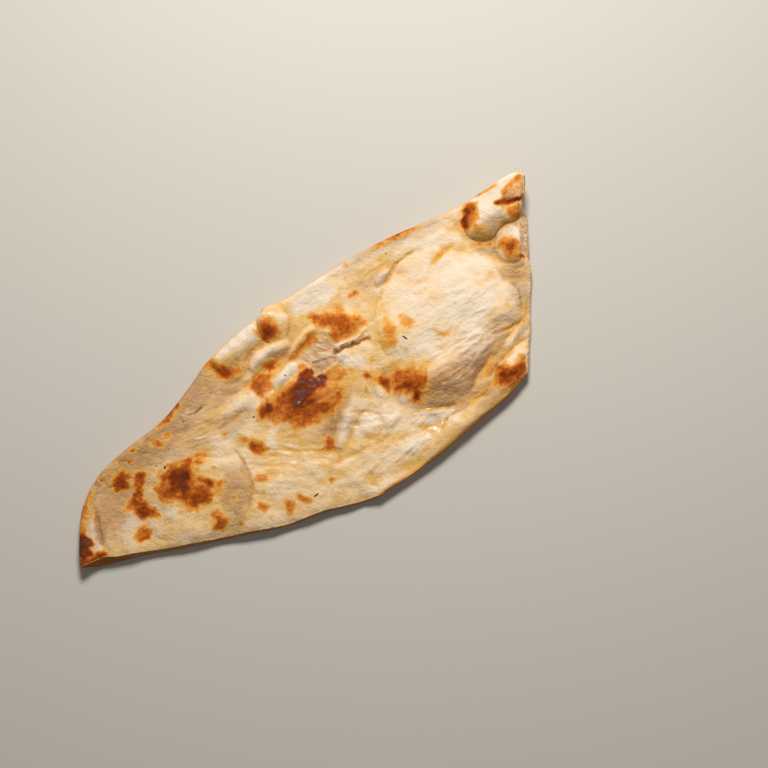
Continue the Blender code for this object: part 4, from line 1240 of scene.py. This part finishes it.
# Burnt crumbs and splinters from the oven floor, stuck to the buttered face: each is a small lump of
# char, pressed a little way into the crust. They are given as place, heading, length and width.
CRUMBS = [
    (-79.5, 25, 0, 1.4, 1.12), (-82, 28.5, 40, 0.7, 0.56), (-72.5, 30, 80, 0.6, 0.48),
    (-10.5, 21.5, 120, 0.9, 0.72), (-34, 16.5, 160, 1.0, 0.8), (-34, 13.5, 200, 0.7, 0.56),
    (62.5, 35, 240, 0.8, 0.64), (74, 35, 280, 0.6, 0.48),
    (-36.5, -30, -4, 3.1, 0.8), (42, -1.5, -77, 3.1, 0.8),
]
CRUMB_FLATNESS = 0.64
flake_bm = bmesh.new()
upper = np.flatnonzero(down == 0)
for index, (x, y, heading, length, width) in enumerate(CRUMBS):
    nearest = upper[np.argmin(np.hypot(spots[upper, 0] - x, spots[upper, 1] - y))]
    foot = Vector(spots[nearest]) * MM
    turned = Matrix.Rotation(math.radians(heading), 4, "Z")
    half = Vector((length, width, CRUMB_FLATNESS * width)) * MM / 2
    place = Matrix.Translation(foot) @ turned @ Matrix.Diagonal(half.to_4d())
    lump = bmesh.ops.create_icosphere(flake_bm, subdivisions=2, radius=1, matrix=place)
    rough = np.random.default_rng(index).uniform(0.82, 1.12, len(lump["verts"]))
    for vert, far in zip(lump["verts"], rough):
        vert.co = foot + (vert.co - foot) * far
flake_mesh = bpy.data.meshes.new("burnt crumbs")
flake_bm.to_mesh(flake_mesh)
flake_bm.free()
flakes = placed("burnt_crumbs", flake_mesh)
char = bpy.data.materials.new("burnt crumb")
char.use_nodes = True

# From here on the node helpers above work on the burnt crumbs' material.
nodes, links = char.node_tree.nodes, char.node_tree.links
shader = nodes["Principled BSDF"]
place = nodes.new("ShaderNodeTexCoord").outputs["Object"]
char_colour = stepped(grain(2500, 2), [(0, (0.012, 0.008, 0.006)), (1, (0.09, 0.035, 0.015))])
links.new(char_colour, shader.inputs["Base Color"])
shader.inputs["Roughness"].default_value = 0.6
flakes.data.materials.append(char)
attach(flakes, "root")

# The table under the bread: a plain pale sweep, which isn't part of the object.
floor_bm = bmesh.new()
bmesh.ops.create_grid(floor_bm, x_segments=1, y_segments=1, size=3.0)
floor_mesh = bpy.data.meshes.new("pale floor")
floor_bm.to_mesh(floor_mesh)
floor_bm.free()
floor = placed("pale_floor", floor_mesh)
paper = bpy.data.materials.new("pale floor")
paper.use_nodes = True
shader = paper.node_tree.nodes["Principled BSDF"]
shader.inputs["Base Color"].default_value = (0.62, 0.61, 0.59, 1)
shader.inputs["Roughness"].default_value = 0.8
floor.data.materials.append(paper)

# The camera looks steeply down on the bread from in front of it and a little nearer its tip, as in the
# photograph, with a key light from behind it, a weak fill and an even pale sky.
AIM = Vector((0.0207, -0.0113, 0.005))
HEADING = math.radians(-41.4)
ELEVATION = math.radians(76)
DISTANCE = 0.830
ahead = Vector((-math.sin(HEADING), math.cos(HEADING), 0))
right = Vector((ahead.y, -ahead.x, 0))


def aimed(name, data, away, side, height):
    """A camera or light turned to the bread: metres ahead of the camera's heading, to its right and up."""
    made = placed(name, data)
    made.location = AIM + away * ahead + side * right + Vector((0, 0, height))
    made.rotation_euler = (AIM - made.location).to_track_quat("-Z", "Y").to_euler()
    return made


def lamp(name, away, side, height, size, power, colour):
    """A square soft light."""
    data = bpy.data.lights.new(name, "AREA")
    data.size = size
    data.energy = power
    data.color = colour
    aimed(name, data, away, side, height)


camera_data = bpy.data.cameras.new("photo camera")
camera_data.lens = 85
camera_data.sensor_width = 36
camera_away, camera_up = -DISTANCE * math.cos(ELEVATION), DISTANCE * math.sin(ELEVATION)
bpy.context.scene.camera = aimed("photo camera", camera_data, camera_away, 0, camera_up)
lamp("key", away=0.47, side=0, height=0.56, size=0.22, power=5.5, colour=(1.0, 0.94, 0.84))
lamp("fill", away=-0.5, side=0.1, height=0.9, size=0.9, power=0.9, colour=(1.0, 0.91, 0.80))
sky = bpy.data.worlds.new("even sky")
sky.use_nodes = True
sky.node_tree.nodes["Background"].inputs["Color"].default_value = (1.0, 0.91, 0.80, 1)
sky.node_tree.nodes["Background"].inputs["Strength"].default_value = 0.10
bpy.context.scene.world = sky
bpy.context.scene.view_settings.view_transform = "Standard"
